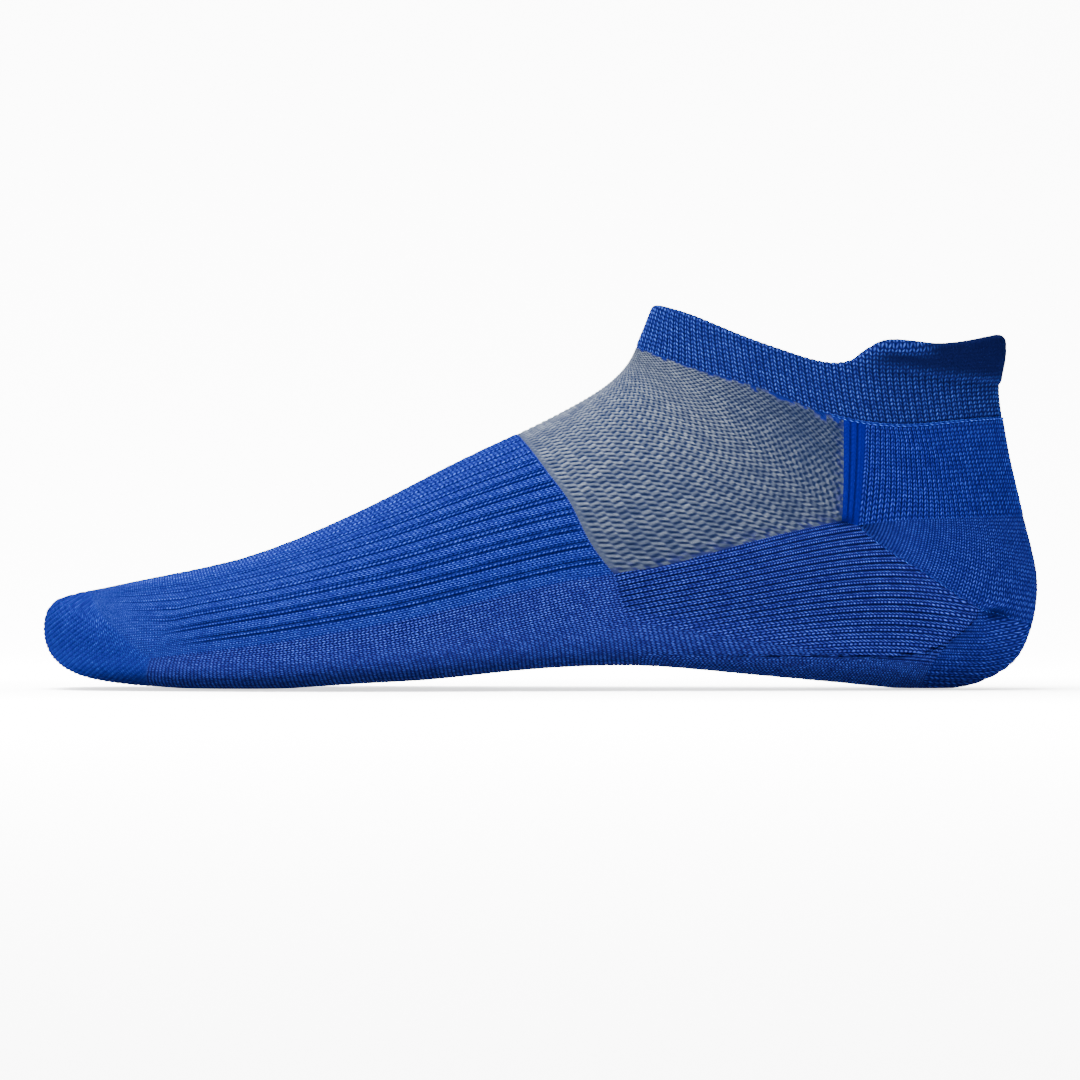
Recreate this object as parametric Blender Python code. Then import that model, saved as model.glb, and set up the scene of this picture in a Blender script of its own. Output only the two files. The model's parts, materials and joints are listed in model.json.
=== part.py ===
"""A low-cut running sock in the shape it takes on a foot, as its separately knitted zones.

Metres, +Z up. The sole rests on z = 0, the toe points along -X and the heel along +X, and the origin is the
middle of the footprint. The knitted tube is described by courses: each is a plane loop that crosses the top line
and the under line of the sock, and together they fan round the ankle and round the toe. A place on the tube is
(u, a): u counts the courses below from the toe, and a is the share of the way round a loop, from 0 on the top
line through 1 on the under line to 2 on the top line again. The -Y side, which faces the viewer, is 0 to 1.
"""

import math

import bpy
import numpy as np
from mathutils import Matrix, Vector

MM = 0.001
SOCK_LENGTH = 265.0
TOE_SHIFT = 5.0
TOE_SHIFT_REACH = 90.0

# Course: top line (x, z), under line (x, z), half width, depth share of the widest point, squareness of the
# upper half and of the lower half (1 is an ellipse, less is squarer). x counts from the toe tip, in mm.
COURSES = (
    (4.3, 23.8, 4.3, 23.8, 10.0, 0.50, 1.00, 1.00),
    (7.2, 24.7, 1.2, 21.0, 16.5, 0.50, 1.00, 1.00),
    (11.0, 25.6, 0.0, 16.0, 21.5, 0.50, 0.98, 0.98),
    (16.6, 26.7, 1.1, 10.4, 26.5, 0.52, 0.96, 0.94),
    (23.0, 28.0, 4.6, 6.2, 31.0, 0.54, 0.94, 0.88),
    (31.0, 29.5, 11.5, 3.0, 35.0, 0.57, 0.94, 0.82),
    (41.0, 31.5, 24.0, 1.0, 39.0, 0.60, 0.95, 0.78),
    (52.0, 34.1, 42.0, -0.3, 42.4, 0.62, 0.97, 0.76),
    (65.0, 38.5, 62.0, -0.3, 44.8, 0.64, 1.00, 0.75),
    (79.5, 44.7, 82.0, 1.2, 45.4, 0.66, 1.03, 0.75),
    (95.4, 52.4, 102.6, 2.4, 43.8, 0.67, 1.05, 0.76),
    (111.0, 60.4, 122.0, 4.4, 41.0, 0.66, 1.06, 0.78),
    (126.5, 67.7, 142.0, 5.9, 38.0, 0.64, 1.05, 0.80),
    (139.5, 74.2, 164.0, 5.9, 35.5, 0.61, 1.02, 0.82),
    (148.5, 79.5, 190.0, 3.6, 34.0, 0.58, 1.00, 0.84),
    (153.5, 83.6, 216.0, 1.2, 33.0, 0.55, 1.00, 0.86),
    (156.0, 86.6, 238.0, -0.5, 32.3, 0.53, 1.00, 0.88),
    (157.3, 88.8, 253.0, 3.2, 31.8, 0.51, 1.00, 0.90),
    (158.2, 90.8, 261.5, 10.7, 31.4, 0.50, 1.00, 0.92),
    (159.0, 92.6, 264.9, 23.0, 31.0, 0.49, 1.00, 0.94),
    (159.7, 94.3, 264.6, 33.0, 30.6, 0.48, 1.00, 0.96),
    (160.4, 95.9, 262.3, 42.5, 30.2, 0.47, 1.00, 0.98),
    (161.0, 97.5, 260.0, 52.0, 29.8, 0.46, 1.00, 1.00),
    (161.6, 99.0, 257.8, 61.5, 29.4, 0.45, 1.00, 1.00),
    (162.2, 100.5, 256.1, 71.0, 29.0, 0.44, 1.00, 1.00),
    (162.8, 102.0, 255.1, 80.5, 28.8, 0.44, 1.00, 1.00),
    (163.4, 103.5, 256.3, 88.0, 29.6, 0.44, 1.00, 1.00),
    (164.0, 105.0, 256.2, 95.0, 30.5, 0.44, 1.00, 1.00),
)
LAST = len(COURSES) - 1

# Lines between the knitted zones, as points of the side view (x from the toe tip, z), in mm.
TOE_CORNER = (30.0, 8.4)
MESH_FRONT_CORNER = (151.8, 30.7)
MESH_HEEL_CORNER = (212.1, 44.6)
GORE_START = (216.3, 43.4)
GORE_END = (256.7, 19.0)
TOE_GORE = ((7.9, 21.9), (11.2, 19.5), (14.4, 17.9), (18.0, 14.6), (22.1, 11.4), TOE_CORNER)
TOE_SEAM = ((12.6, 26.0), (16.0, 20.6), (20.0, 16.5), (24.5, 12.4), TOE_CORNER)
SOLE_TOE_EDGE = (TOE_CORNER, (30.5, 0.4))
RIB_SOLE_EDGE = (TOE_CORNER, (68.4, 13.4), (76.4, 14.7), (103.1, 20.0), (137.8, 28.3), MESH_FRONT_CORNER)
MESH_FRONT = ((126.5, 67.7), (129.8, 63.8), (135.3, 56.4), (140.2, 49.7), (145.1, 39.9), MESH_FRONT_CORNER)
MESH_BOTTOM = (MESH_FRONT_CORNER, (164.7, 32.8), (183.1, 37.7), (201.5, 42.3), MESH_HEEL_CORNER)
MESH_REAR = (MESH_HEEL_CORNER, (212.5, 57.0), (212.5, 70.9))
STRIP_FOOT = (MESH_HEEL_CORNER, GORE_START)
STRIP_REAR = (GORE_START, (217.6, 57.0), (218.3, 70.4))
CUFF_LOWER = (
    (158.3, 90.9), (167.2, 87.4), (174.5, 84.7), (183.1, 82.2), (195.4, 77.9), (207.6, 73.0),
    (218.5, 70.4), (232.8, 69.9), (241.9, 70.8), (255.6, 72.1),
)
HEEL_LINE = (GORE_START, (228.0, 44.8), (240.0, 45.2), (252.0, 45.6), (261.3, 45.9))
HEEL_GORE = (GORE_START, (224.4, 36.8), (233.0, 31.6), (242.0, 25.6), (248.6, 21.6), GORE_END, (263.9, 17.2))
CUP_CORNER = (236.0, 6.5)
CUP_GORE_POINT = (248.6, 21.6)
CUP_FRONT = (CUP_GORE_POINT, (241.5, 13.0), CUP_CORNER, (234.0, 0.0))
ARCH_CORNER = (155.5, 18.5)
ARCH_FRONT = (MESH_FRONT_CORNER, (153.5, 24.0), ARCH_CORNER, (158.0, 6.0))
ARCH_LOWER = (ARCH_CORNER, (175.0, 15.0), (202.0, 11.0), CUP_CORNER)
ARCH_REAR = (GORE_START, (224.4, 36.8), (233.0, 31.6), (242.0, 25.6), CUP_GORE_POINT, (241.5, 13.0), CUP_CORNER)
RIM = (
    (163.0, 102.4), (170.9, 99.9), (179.5, 96.2), (188.0, 92.7), (196.6, 89.7), (205.1, 87.1),
    (211.3, 86.4), (216.5, 87.9), (222.2, 91.4), (228.0, 92.0), (239.3, 91.1), (247.9, 92.3), (256.2, 94.2),
)
TAB_ROOT = ((211.3, 86.4), (218.0, 85.2), (226.0, 83.8), (236.0, 82.4), (246.0, 81.4), (255.1, 80.9))

# Joints: the ball of the foot, where the toe end lifts, and the root of the heel tab, where it folds back.
BALL_X, BALL_Z, TOE_LIFT = 76.0, 0.8, 35.0
WEDGE_SPARE = 2.0

# Fabric: how thick each layer is and how deep under the outer face it lies, in mm.
KNIT = 1.5
MESH_KNIT = 1.1
WELT_LAYER = 0.8
LINING_DEPTH = 2.2
PAD_DEPTH, PAD = 2.1, 2.0
GAP = 0.3
SEAM_GAP = 0.8
FLEX_GAP = 0.75
SEAM_RADIUS = 0.32
ELASTIC_DEPTH, ELASTIC_RADIUS = 1.5, 0.28

TAB_PAD = 2.0
TAB_SIDE = 0.79
POCKET_SIDE = 0.5

# Yarn colours (linear) and how rough each surface is.
COATS = {
    "blue_knit": ((0.010, 0.045, 0.220), 0.90),
    "bright_strip": ((0.004, 0.030, 0.260), 0.85),
    "grey_marl_mesh": ((0.085, 0.110, 0.165), 0.90),
    "navy_tab": ((0.005, 0.018, 0.090), 0.90),
    "terry_lining": ((0.012, 0.055, 0.250), 0.95),
    "linking_thread": ((0.006, 0.028, 0.150), 0.80),
    "covered_elastane": ((0.600, 0.620, 0.650), 0.60),
}


def spline(knots, values):
    """A natural cubic spline through the values at the knots, as a function."""
    x, y = np.asarray(knots, float), np.asarray(values, float)
    h = np.diff(x)
    system = np.eye(len(x))
    right = np.zeros_like(y)
    for i in range(1, len(x) - 1):
        system[i, i - 1 : i + 2] = h[i - 1], 2 * (h[i - 1] + h[i]), h[i]
        right[i] = 6 * ((y[i + 1] - y[i]) / h[i] - (y[i] - y[i - 1]) / h[i - 1])
    bend = np.linalg.solve(system, right)

    def at(q):
        q = np.clip(q, x[0], x[-1])
        i = np.clip(np.searchsorted(x, q, side="right") - 1, 0, len(x) - 2)
        left, span = q - x[i], h[i]
        over = span - left
        if y.ndim > 1:
            left, over, span = left[..., None], over[..., None], span[..., None]
        curve = (bend[i] * over**3 + bend[i + 1] * left**3) / (6 * span)
        return curve + (y[i] / span - bend[i] * span / 6) * over + (y[i + 1] / span - bend[i + 1] * span / 6) * left

    return at


course = spline(np.arange(LAST + 1), np.array(COURSES))


def loop_shape(row, turn):
    """(share of the way from the top line to the under line, share of the half width) at a turn from 0 to pi."""
    widest, upper, lower = row[..., 5], row[..., 6], row[..., 7]
    rise = np.abs(np.cos(turn))
    on_top = turn <= math.pi / 2
    power = np.where(on_top, upper, lower)
    down = np.where(on_top, widest * (1 - rise**power), widest + (1 - widest) * rise**power)
    return down, np.abs(np.sin(turn)) ** power


def turn_table():
    """For each course and each share of the half loop's length, the turn there."""
    us = np.linspace(0, LAST, 8 * LAST + 1)
    turns = np.linspace(0, math.pi, 241)
    shares = np.linspace(0, 1, 121)
    rows = course(us)
    down, out = loop_shape(rows[:, None, :], turns[None, :])
    height = np.hypot(rows[:, 2] - rows[:, 0], rows[:, 3] - rows[:, 1])
    steps = np.hypot(np.diff(down, axis=1) * height[:, None], np.diff(out, axis=1) * rows[:, 4:5])
    run = np.concatenate([np.zeros((len(us), 1)), np.cumsum(steps, axis=1)], axis=1)
    return np.array([np.interp(shares, r / r[-1], turns) for r in run])


TURNS = turn_table()


def turn_at(u, share):
    row, column = np.clip(u, 0, LAST) * 8, np.clip(share, 0, 1) * 120
    i, j = np.minimum(row.astype(int), 8 * LAST - 1), np.minimum(column.astype(int), 119)
    p, q = row - i, column - j
    upper = TURNS[i, j] * (1 - q) + TURNS[i, j + 1] * q
    lower = TURNS[i + 1, j] * (1 - q) + TURNS[i + 1, j + 1] * q
    return upper * (1 - p) + lower * p


def share_of(a):
    """The share of the way from the top line to the under line, on either side."""
    round_it = np.mod(a, 2.0)
    return np.where(round_it <= 1, round_it, 2 - round_it)


def tube(u, a):
    """The outer face at (u, a), as points in mm in the sock's own frame."""
    u, a = np.broadcast_arrays(np.asarray(u, float), np.asarray(a, float))
    share, on_near = share_of(a), np.mod(a, 2.0) <= 1
    row = course(u)
    down, out = loop_shape(row, turn_at(u, share))
    x = row[..., 0] + (row[..., 2] - row[..., 0]) * down
    z = row[..., 1] + (row[..., 3] - row[..., 1]) * down
    y = np.where(on_near, -1.0, 1.0) * row[..., 4] * out
    y = y + TOE_SHIFT * np.clip(1 - x / TOE_SHIFT_REACH, 0, 1) ** 2
    return np.stack([x - SOCK_LENGTH / 2, y, np.maximum(z, 0.0)], axis=-1)


def outward(u, a):
    """The unit normals of the outer face at (u, a)."""
    step_u, step_a = 0.05, 0.004
    along = tube(np.minimum(u + step_u, LAST), a) - tube(np.maximum(u - step_u, 0.02), a)
    around = tube(u, a + step_a) - tube(u, a - step_a)
    normal = np.cross(around, along)
    return normal / np.linalg.norm(normal, axis=-1, keepdims=True)


def under(u, a, depth):
    """Points at a depth under the outer face; one that rests on the floor rises straight up."""
    return tube(u, a) - outward(u, a) * depth


def located(points):
    """The (u, a) of points of the side view, on the near side."""
    us = np.linspace(0.05, LAST, 80 * LAST + 1)
    rows = course(us)
    top, low = rows[:, 0:2], rows[:, 2:4]
    across = low - top
    found = []
    for point in points:
        away = np.asarray(point) - top
        side = away[:, 0] * across[:, 1] - away[:, 1] * across[:, 0]
        down = (away * across).sum(1) / (across**2).sum(1)
        crossing = np.nonzero((side[:-1] * side[1:] <= 0) & (down[1:] > -0.05) & (down[1:] < 1.05))[0]
        i = crossing[0] if len(crossing) else int(np.argmin(np.abs(side)))
        span = side[i + 1] - side[i] if i + 1 < len(side) else 0
        u = us[i] - (side[i] * (us[1] - us[0]) / span if span else 0)
        shares = np.linspace(0, 1, 401)
        downs = loop_shape(course(np.full(401, u)), turn_at(np.full(401, u), shares))[0]
        found.append((u, float(np.interp(down[i], downs, shares))))
    return np.array(found)


def smooth_line(points):
    """The places (u, a) along a smooth side-view line through the points."""
    points = np.array(points, float)
    run = np.concatenate([[0], np.cumsum(np.hypot(*np.diff(points, axis=0).T))])
    if len(points) > 2:
        points = spline(run, points)(np.linspace(0, run[-1], 12 * len(points)))
    return located(points)


def cross_line(points, from_top=False, to_under=False, straight=False):
    """u as a function of a, for a line that runs round the tube, the same on both sides."""
    place = located(points) if straight else smooth_line(points)
    if from_top:
        place[0, 1] = 0.0
    if to_under:
        place[-1, 1] = 1.0
    place = place[np.argsort(place[:, 1])]
    return lambda a: np.interp(share_of(a), place[:, 1], place[:, 0])


def side_line(*runs, start=None):
    """a as a function of u, for a line of smooth runs along the tube on the near side."""
    place = np.concatenate([smooth_line(points) for points in runs])
    if start is not None:
        place = np.concatenate([[start], place])
    place = place[np.argsort(place[:, 0])]
    return lambda u: np.interp(u, place[:, 0], place[:, 1])


def far(line):
    """The same side line on the far side, past the under line."""
    return lambda u: 2 - line(u)


def over(line):
    """The same side line on the far side, past the top line."""
    return lambda u: -line(u)


def level(value):
    return lambda q: np.full_like(np.asarray(q, float), value)


seam = cross_line(TOE_SEAM, from_top=True)
toe_edge = cross_line(SOLE_TOE_EDGE, to_under=True)
mesh_front = cross_line(MESH_FRONT, from_top=True)
cuff_lower = cross_line(CUFF_LOWER, from_top=True, to_under=True)
strip_foot = cross_line(STRIP_FOOT)
heel_line = cross_line(HEEL_LINE, to_under=True)
heel_gore = cross_line(HEEL_GORE, to_under=True)
cup_front = cross_line(CUP_FRONT, to_under=True)
arch_front = cross_line(ARCH_FRONT)
arch_rear = cross_line(ARCH_REAR)
rim = cross_line(RIM, from_top=True, to_under=True)
tab_root = cross_line(TAB_ROOT, to_under=True)
toe_gore = side_line(TOE_GORE, start=(0.0, 0.5))
rib_edge = side_line(RIB_SOLE_EDGE)
mesh_side = side_line(MESH_BOTTOM, MESH_REAR)
strip_rear = side_line(STRIP_REAR)
arch_upper = side_line(MESH_BOTTOM, STRIP_FOOT)
arch_lower = side_line(ARCH_LOWER)
GORE_A = float(located([GORE_START])[0, 1])
CUP_A = float(located([CUP_GORE_POINT])[0, 1])
TAB_A = float(located([TAB_ROOT[0]])[0, 1])


def wedge_line(side):
    """One face of the gap that closes over the ball of the foot as the toe lifts: -1 in front of it, 1 behind."""
    lean = side * math.tan(math.radians(TOE_LIFT / 2 + WEDGE_SPARE))
    top = course(np.linspace(0, LAST, 40 * LAST + 1))[:, :2]
    meets = int(np.argmin(np.abs(top[:, 0] - BALL_X - lean * (top[:, 1] - BALL_Z))))
    heights = np.linspace(top[meets, 1], BALL_Z, 60)
    points = [(BALL_X + lean * (z - BALL_Z), z) for z in heights]
    return cross_line([*points, (BALL_X, 0.0)], from_top=True, to_under=True, straight=True)


wedge_front, wedge_rear = wedge_line(-1), wedge_line(1)


def patch(start, end, near, away, across, along):
    """The grid of (u, a) between two cross lines and two side lines."""
    s, t = np.meshgrid(np.linspace(0, 1, across + 1), np.linspace(0, 1, along + 1), indexing="ij")
    a = near(start(level(1.0)(t))) * (1 - s) + away(start(level(1.0)(t))) * s
    for _ in range(60):
        u = start(a) * (1 - t) + end(a) * t
        a = (a + near(u) * (1 - s) + away(u) * s) / 2
    return u, a


def draw_in(points, gaps, closed):
    """Moves the edges of a grid of points inwards, so that neighbouring zones stay apart."""
    first, last, near, away = gaps

    def pulled(edge, inner, gap):
        way, border = inner - edge, np.gradient(edge, axis=0)
        border = border / np.linalg.norm(border, axis=-1, keepdims=True)
        straight = way - (way * border).sum(-1, keepdims=True) * border
        return edge + way * (gap / np.linalg.norm(straight, axis=-1, keepdims=True))

    points = points.copy()
    points[:, 0] = pulled(points[:, 0], points[:, 1], first)
    points[:, -1] = pulled(points[:, -1], points[:, -2], last)
    if not closed:
        points[0] = pulled(points[0], points[1], near)
        points[-1] = pulled(points[-1], points[-2], away)
    return points


def material(name, colour, roughness=0.9):
    made = bpy.data.materials.new(name)
    made.use_nodes = True
    shader = made.node_tree.nodes["Principled BSDF"]
    shader.inputs["Base Color"].default_value = (*colour, 1)
    shader.inputs["Roughness"].default_value = roughness
    shader.inputs["Metallic"].default_value = 0.0
    return made


def finish(name, data, coat):
    data.materials.append(coat)
    made = bpy.data.objects.new(name, data)
    bpy.context.scene.collection.objects.link(made)
    return made


def panel(name, coat, lines, cells, thick, depth=0.0, gaps=(GAP,) * 4, closed=False):
    """One knitted zone: the grid between its four lines at its outer face, its inner face, and the edges between."""
    u, a = patch(*lines, *cells)
    layers = [draw_in(under(u, a, deep), gaps, closed) * MM for deep in (depth, depth + thick)]
    if closed:
        layers = [points[:-1] for points in layers]
    rows, columns = layers[0].shape[:2]
    index = np.arange(2 * rows * columns).reshape(2, rows, columns)
    outer, inner = index
    faces = []
    for i in range(rows if closed else rows - 1):
        k = (i + 1) % rows
        for j in range(columns - 1):
            faces.append((outer[i, j], outer[k, j], outer[k, j + 1], outer[i, j + 1]))
            faces.append((inner[i, j], inner[i, j + 1], inner[k, j + 1], inner[k, j]))
        faces.append((outer[k, 0], outer[i, 0], inner[i, 0], inner[k, 0]))
        faces.append((outer[i, -1], outer[k, -1], inner[k, -1], inner[i, -1]))
    for j in range(columns - 1 if not closed else 0):
        faces.append((outer[0, j], outer[0, j + 1], inner[0, j + 1], inner[0, j]))
        faces.append((outer[-1, j + 1], outer[-1, j], inner[-1, j], inner[-1, j + 1]))
    data = bpy.data.meshes.new(name)
    data.from_pydata(np.concatenate(layers).reshape(-1, 3).tolist(), [], [[int(v) for v in face] for face in faces])
    data.update()
    return finish(name, data, coat)


def cord(name, coat, points, radius, closed=False):
    """A yarn or seam that follows points given in mm."""
    data = bpy.data.curves.new(name, "CURVE")
    data.dimensions = "3D"
    data.bevel_depth = radius * MM
    data.bevel_resolution = 1
    data.use_fill_caps = not closed
    run = data.splines.new("POLY")
    run.points.add(len(points) - 1)
    for target, point in zip(run.points, points):
        target.co = (*(point * MM), 1)
    run.use_cyclic_u = closed
    return finish(name, data, coat)


def ring(name, coat, height, depth, radius, count=72):
    """A closed yarn round the cuff, at a share of the height from its lower edge to its upper edge."""
    a = np.linspace(0, 2, count, endpoint=False)
    u = cuff_lower(a) * (1 - height) + cuff_top(a) * height
    return cord(name, coat, under(u, a, depth), radius, closed=True)


def cuff_top(a):
    """The upper edge of the welt: the rim, and behind it the root of the tab."""
    share = share_of(a)
    return np.where(share < TAB_A, rim(share), np.minimum(tab_root(np.maximum(share, TAB_A)), rim(share)))


def pair(name, coat, lines, past, cells, thick, **more):
    """A zone on the near side and its mirror twin on the far side, reached past the top or the under line."""
    start, end, near, away = lines
    panel(name + "_left", coat, lines, cells, thick, **more)
    if "gaps" in more:
        first, last, by_near, by_away = more["gaps"]
        more["gaps"] = (first, last, by_away, by_near)
    panel(name + "_right", coat, (start, end, past(away), past(near)), cells, thick, **more)


def toe_end(coats):
    """The toe body: the short-row pocket, its gores, the linked seam and the zones before the ball of the foot."""
    blue, lining, thread = coats["blue_knit"], coats["terry_lining"], coats["linking_thread"]
    tip, across = level(0.3), far(toe_gore)
    seamed = (GAP, GAP, SEAM_GAP, SEAM_GAP)
    panel("toe_pocket_lower", blue, (tip, toe_edge, toe_gore, across), (24, 16), KNIT, gaps=seamed)
    seamed = (GAP, SEAM_GAP, SEAM_GAP, SEAM_GAP)

    def upper_side(u):
        return np.minimum(toe_gore(u), POCKET_SIDE)

    panel("toe_pocket_upper", blue, (tip, seam, over(upper_side), upper_side), (24, 6), KNIT, gaps=seamed)
    seamed = (SEAM_GAP, GAP, GAP, GAP)
    panel("forefoot_rib_front", blue, (seam, wedge_front, over(rib_edge), rib_edge), (24, 8), KNIT, gaps=seamed)
    sole_gaps = (GAP, FLEX_GAP, GAP, GAP)
    panel("sole_front", blue, (toe_edge, wedge_front, rib_edge, far(rib_edge)), (20, 8), KNIT, gaps=sole_gaps)
    panel("toe_pad", lining, (level(2.6), level(5.4), level(0.72), level(1.28)), (10, 4), PAD, PAD_DEPTH)
    panel("ball_pad_front", lining, (level(6.6), level(8.2), level(0.78), level(1.22)), (10, 3), PAD, PAD_DEPTH)
    u = np.linspace(0.5, 5.6, 21)
    cord("toe_gore_left", thread, under(u, toe_gore(u), KNIT / 2), SEAM_RADIUS)
    cord("toe_gore_right", thread, under(u, -toe_gore(u), KNIT / 2), SEAM_RADIUS)
    reach = 0.93 * float(rib_edge(6.2))
    a = np.linspace(-reach, reach, 45)
    cord("toe_seam", thread, under(seam(a), a, KNIT / 2), SEAM_RADIUS)


def instep(coats):
    """The zones over the foot, from the ball to the welt."""
    blue, marl = coats["blue_knit"], coats["grey_marl_mesh"]
    reach = level(0.74)
    panel("forefoot_flex", blue, (wedge_front, wedge_rear, over(reach), reach), (24, 2), KNIT)
    panel("forefoot_rib_rear", blue, (wedge_rear, mesh_front, over(rib_edge), rib_edge), (24, 8), KNIT)
    seamed = (GAP, SEAM_GAP, GAP, GAP)
    panel("instep_mesh", marl, (mesh_front, cuff_lower, over(mesh_side), mesh_side), (28, 12), MESH_KNIT, gaps=seamed)
    lines = (strip_foot, cuff_lower, mesh_side, strip_rear)
    pair("side_strip", coats["bright_strip"], lines, far, (2, 8), KNIT, gaps=seamed)


def under_foot(coats):
    """The arch bands, the sole behind the ball and the cushions inside it."""
    blue, lining = coats["blue_knit"], coats["terry_lining"]
    flexing = (FLEX_GAP, GAP, GAP, GAP)
    panel("sole_ball", blue, (wedge_rear, arch_front, rib_edge, far(rib_edge)), (20, 8), KNIT, gaps=flexing)
    wide = (GAP, GAP, 2 * GAP, 2 * GAP)
    panel("sole_waist", blue, (arch_front, cup_front, arch_lower, far(arch_lower)), (18, 12), KNIT, gaps=wide)
    seamed = (GAP, SEAM_GAP, GAP, GAP)
    lines = (arch_front, arch_rear, arch_upper, arch_lower)
    pair("arch_band", blue, lines, far, (12, 12), KNIT, gaps=seamed)
    panel("ball_pad_rear", lining, (level(9.2), level(10.6), level(0.78), level(1.22)), (10, 3), PAD, PAD_DEPTH)
    panel("heel_pad", lining, (level(15.2), level(19.6), level(0.84), level(1.16)), (8, 12), PAD, PAD_DEPTH)


def heel(coats):
    """The short-row heel: the cup below its gores, the pocket above them and the panel up to the welt."""
    blue, thread = coats["blue_knit"], coats["linking_thread"]
    cup_side, pocket_side = level(CUP_A + 0.01), level(GORE_A + 0.03)
    seamed = (2 * GAP, SEAM_GAP, SEAM_GAP, SEAM_GAP)
    panel("heel_cup", blue, (cup_front, heel_gore, cup_side, far(cup_side)), (16, 8), KNIT, gaps=seamed)
    seamed = (SEAM_GAP, GAP, SEAM_GAP, SEAM_GAP)
    panel("heel_pocket", blue, (heel_gore, heel_line, pocket_side, far(pocket_side)), (28, 6), KNIT, gaps=seamed)
    seamed = (GAP, SEAM_GAP, GAP, GAP)
    panel("achilles_panel", blue, (heel_line, cuff_lower, strip_rear, far(strip_rear)), (24, 6), KNIT, gaps=seamed)
    a = np.linspace(GORE_A + 0.01, 0.90, 25)
    cord("heel_gore_left", thread, under(heel_gore(a), a, KNIT / 2), SEAM_RADIUS)
    cord("heel_gore_right", thread, under(heel_gore(a), 2 - a, KNIT / 2), SEAM_RADIUS)
    sides = level(0.86), level(1.14)
    panel("achilles_pad", coats["terry_lining"], (level(20.6), level(22.6), *sides), (6, 4), PAD, PAD_DEPTH)


def welt(coats):
    """The turned cuff, its elastane yarns, and the tab behind it: two wings, and the padded middle that folds back."""
    blue, navy, lining = coats["blue_knit"], coats["navy_tab"], coats["terry_lining"]
    ring_lines = (cuff_lower, cuff_top, level(0.0), level(2.0))
    panel("cuff_rib", blue, ring_lines, (60, 4), WELT_LAYER, gaps=(SEAM_GAP, GAP, 0, 0), closed=True)
    panel("cuff_lining", lining, ring_lines, (60, 4), WELT_LAYER, LINING_DEPTH, gaps=(SEAM_GAP, GAP, 0, 0), closed=True)
    for count, height in enumerate((0.25, 0.5, 0.75), 1):
        ring(f"cuff_elastic_{count}", coats["covered_elastane"], height, ELASTIC_DEPTH, ELASTIC_RADIUS)
    a = np.linspace(0, 2, 72, endpoint=False)
    cord("welt_join", coats["linking_thread"], under(cuff_lower(a), a, KNIT / 2), SEAM_RADIUS, closed=True)
    lining_depth = WELT_LAYER + TAB_PAD + 2 * GAP
    lines = (tab_root, rim, level(TAB_A + 0.02), level(TAB_SIDE))
    pair("tab_wing", navy, lines, far, (10, 3), WELT_LAYER)
    pair("tab_wing_lining", lining, lines, far, (10, 3), WELT_LAYER, depth=lining_depth)
    lines = (tab_root, rim, level(TAB_SIDE), level(2 - TAB_SIDE))
    pieces = [
        panel("heel_tab_outer", navy, lines, (16, 3), WELT_LAYER),
        panel("heel_tab_pad", lining, lines, (16, 3), TAB_PAD, WELT_LAYER + GAP, gaps=(0.9,) * 4),
        panel("heel_tab_lining", lining, lines, (16, 3), WELT_LAYER, lining_depth),
    ]
    axis = tube(tab_root(1.0), 1.0) * MM
    for piece in pieces:
        piece.data.transform(Matrix.Translation(-Vector(axis)))
        piece.location = axis


def build_all():
    coats = {name: material(name, colour, rough) for name, (colour, rough) in COATS.items()}
    toe_end(coats)
    instep(coats)
    under_foot(coats)
    heel(coats)
    welt(coats)


for leftover in list(bpy.data.objects):
    bpy.data.objects.remove(leftover, do_unlink=True)
build_all()
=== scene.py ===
"""The looks of the running sock: every knitted zone is its own piece, with its ribs and lattice as geometry.

The materials draw the single stitches, from the stitch coordinates that each piece carries. The sock's
surface is the one the CAD model has: courses fan round the ankle and the toe, and a place on it is (u, a),
where u counts the rows of COURSES from the toe and a is the share of the way round a loop, from 0 on the top
line through 1 on the under line to 2. The -Y side, which faces the camera, is 0 to 1. Lengths are in mm.
"""

import json
import math

import bmesh
import bpy
import numpy as np
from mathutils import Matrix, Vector


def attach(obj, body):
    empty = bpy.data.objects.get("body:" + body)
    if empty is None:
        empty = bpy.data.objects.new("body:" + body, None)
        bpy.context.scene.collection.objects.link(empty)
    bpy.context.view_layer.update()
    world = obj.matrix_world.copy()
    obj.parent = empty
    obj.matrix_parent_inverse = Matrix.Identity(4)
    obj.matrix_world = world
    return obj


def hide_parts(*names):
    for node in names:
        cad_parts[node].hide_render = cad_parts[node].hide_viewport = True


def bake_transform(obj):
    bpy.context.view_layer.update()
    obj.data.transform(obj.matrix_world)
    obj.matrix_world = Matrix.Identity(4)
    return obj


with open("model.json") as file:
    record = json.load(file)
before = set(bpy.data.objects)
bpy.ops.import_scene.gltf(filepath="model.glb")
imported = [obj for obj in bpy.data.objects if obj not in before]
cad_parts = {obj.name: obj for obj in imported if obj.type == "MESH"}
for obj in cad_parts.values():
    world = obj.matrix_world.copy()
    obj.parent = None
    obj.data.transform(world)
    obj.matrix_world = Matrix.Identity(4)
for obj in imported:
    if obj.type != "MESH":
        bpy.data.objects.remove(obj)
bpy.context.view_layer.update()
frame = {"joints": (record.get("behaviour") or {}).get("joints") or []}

MM = 0.001
SOCK_LENGTH = 265.0
TOE_SHIFT, TOE_SHIFT_REACH = 5.0, 90.0

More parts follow.
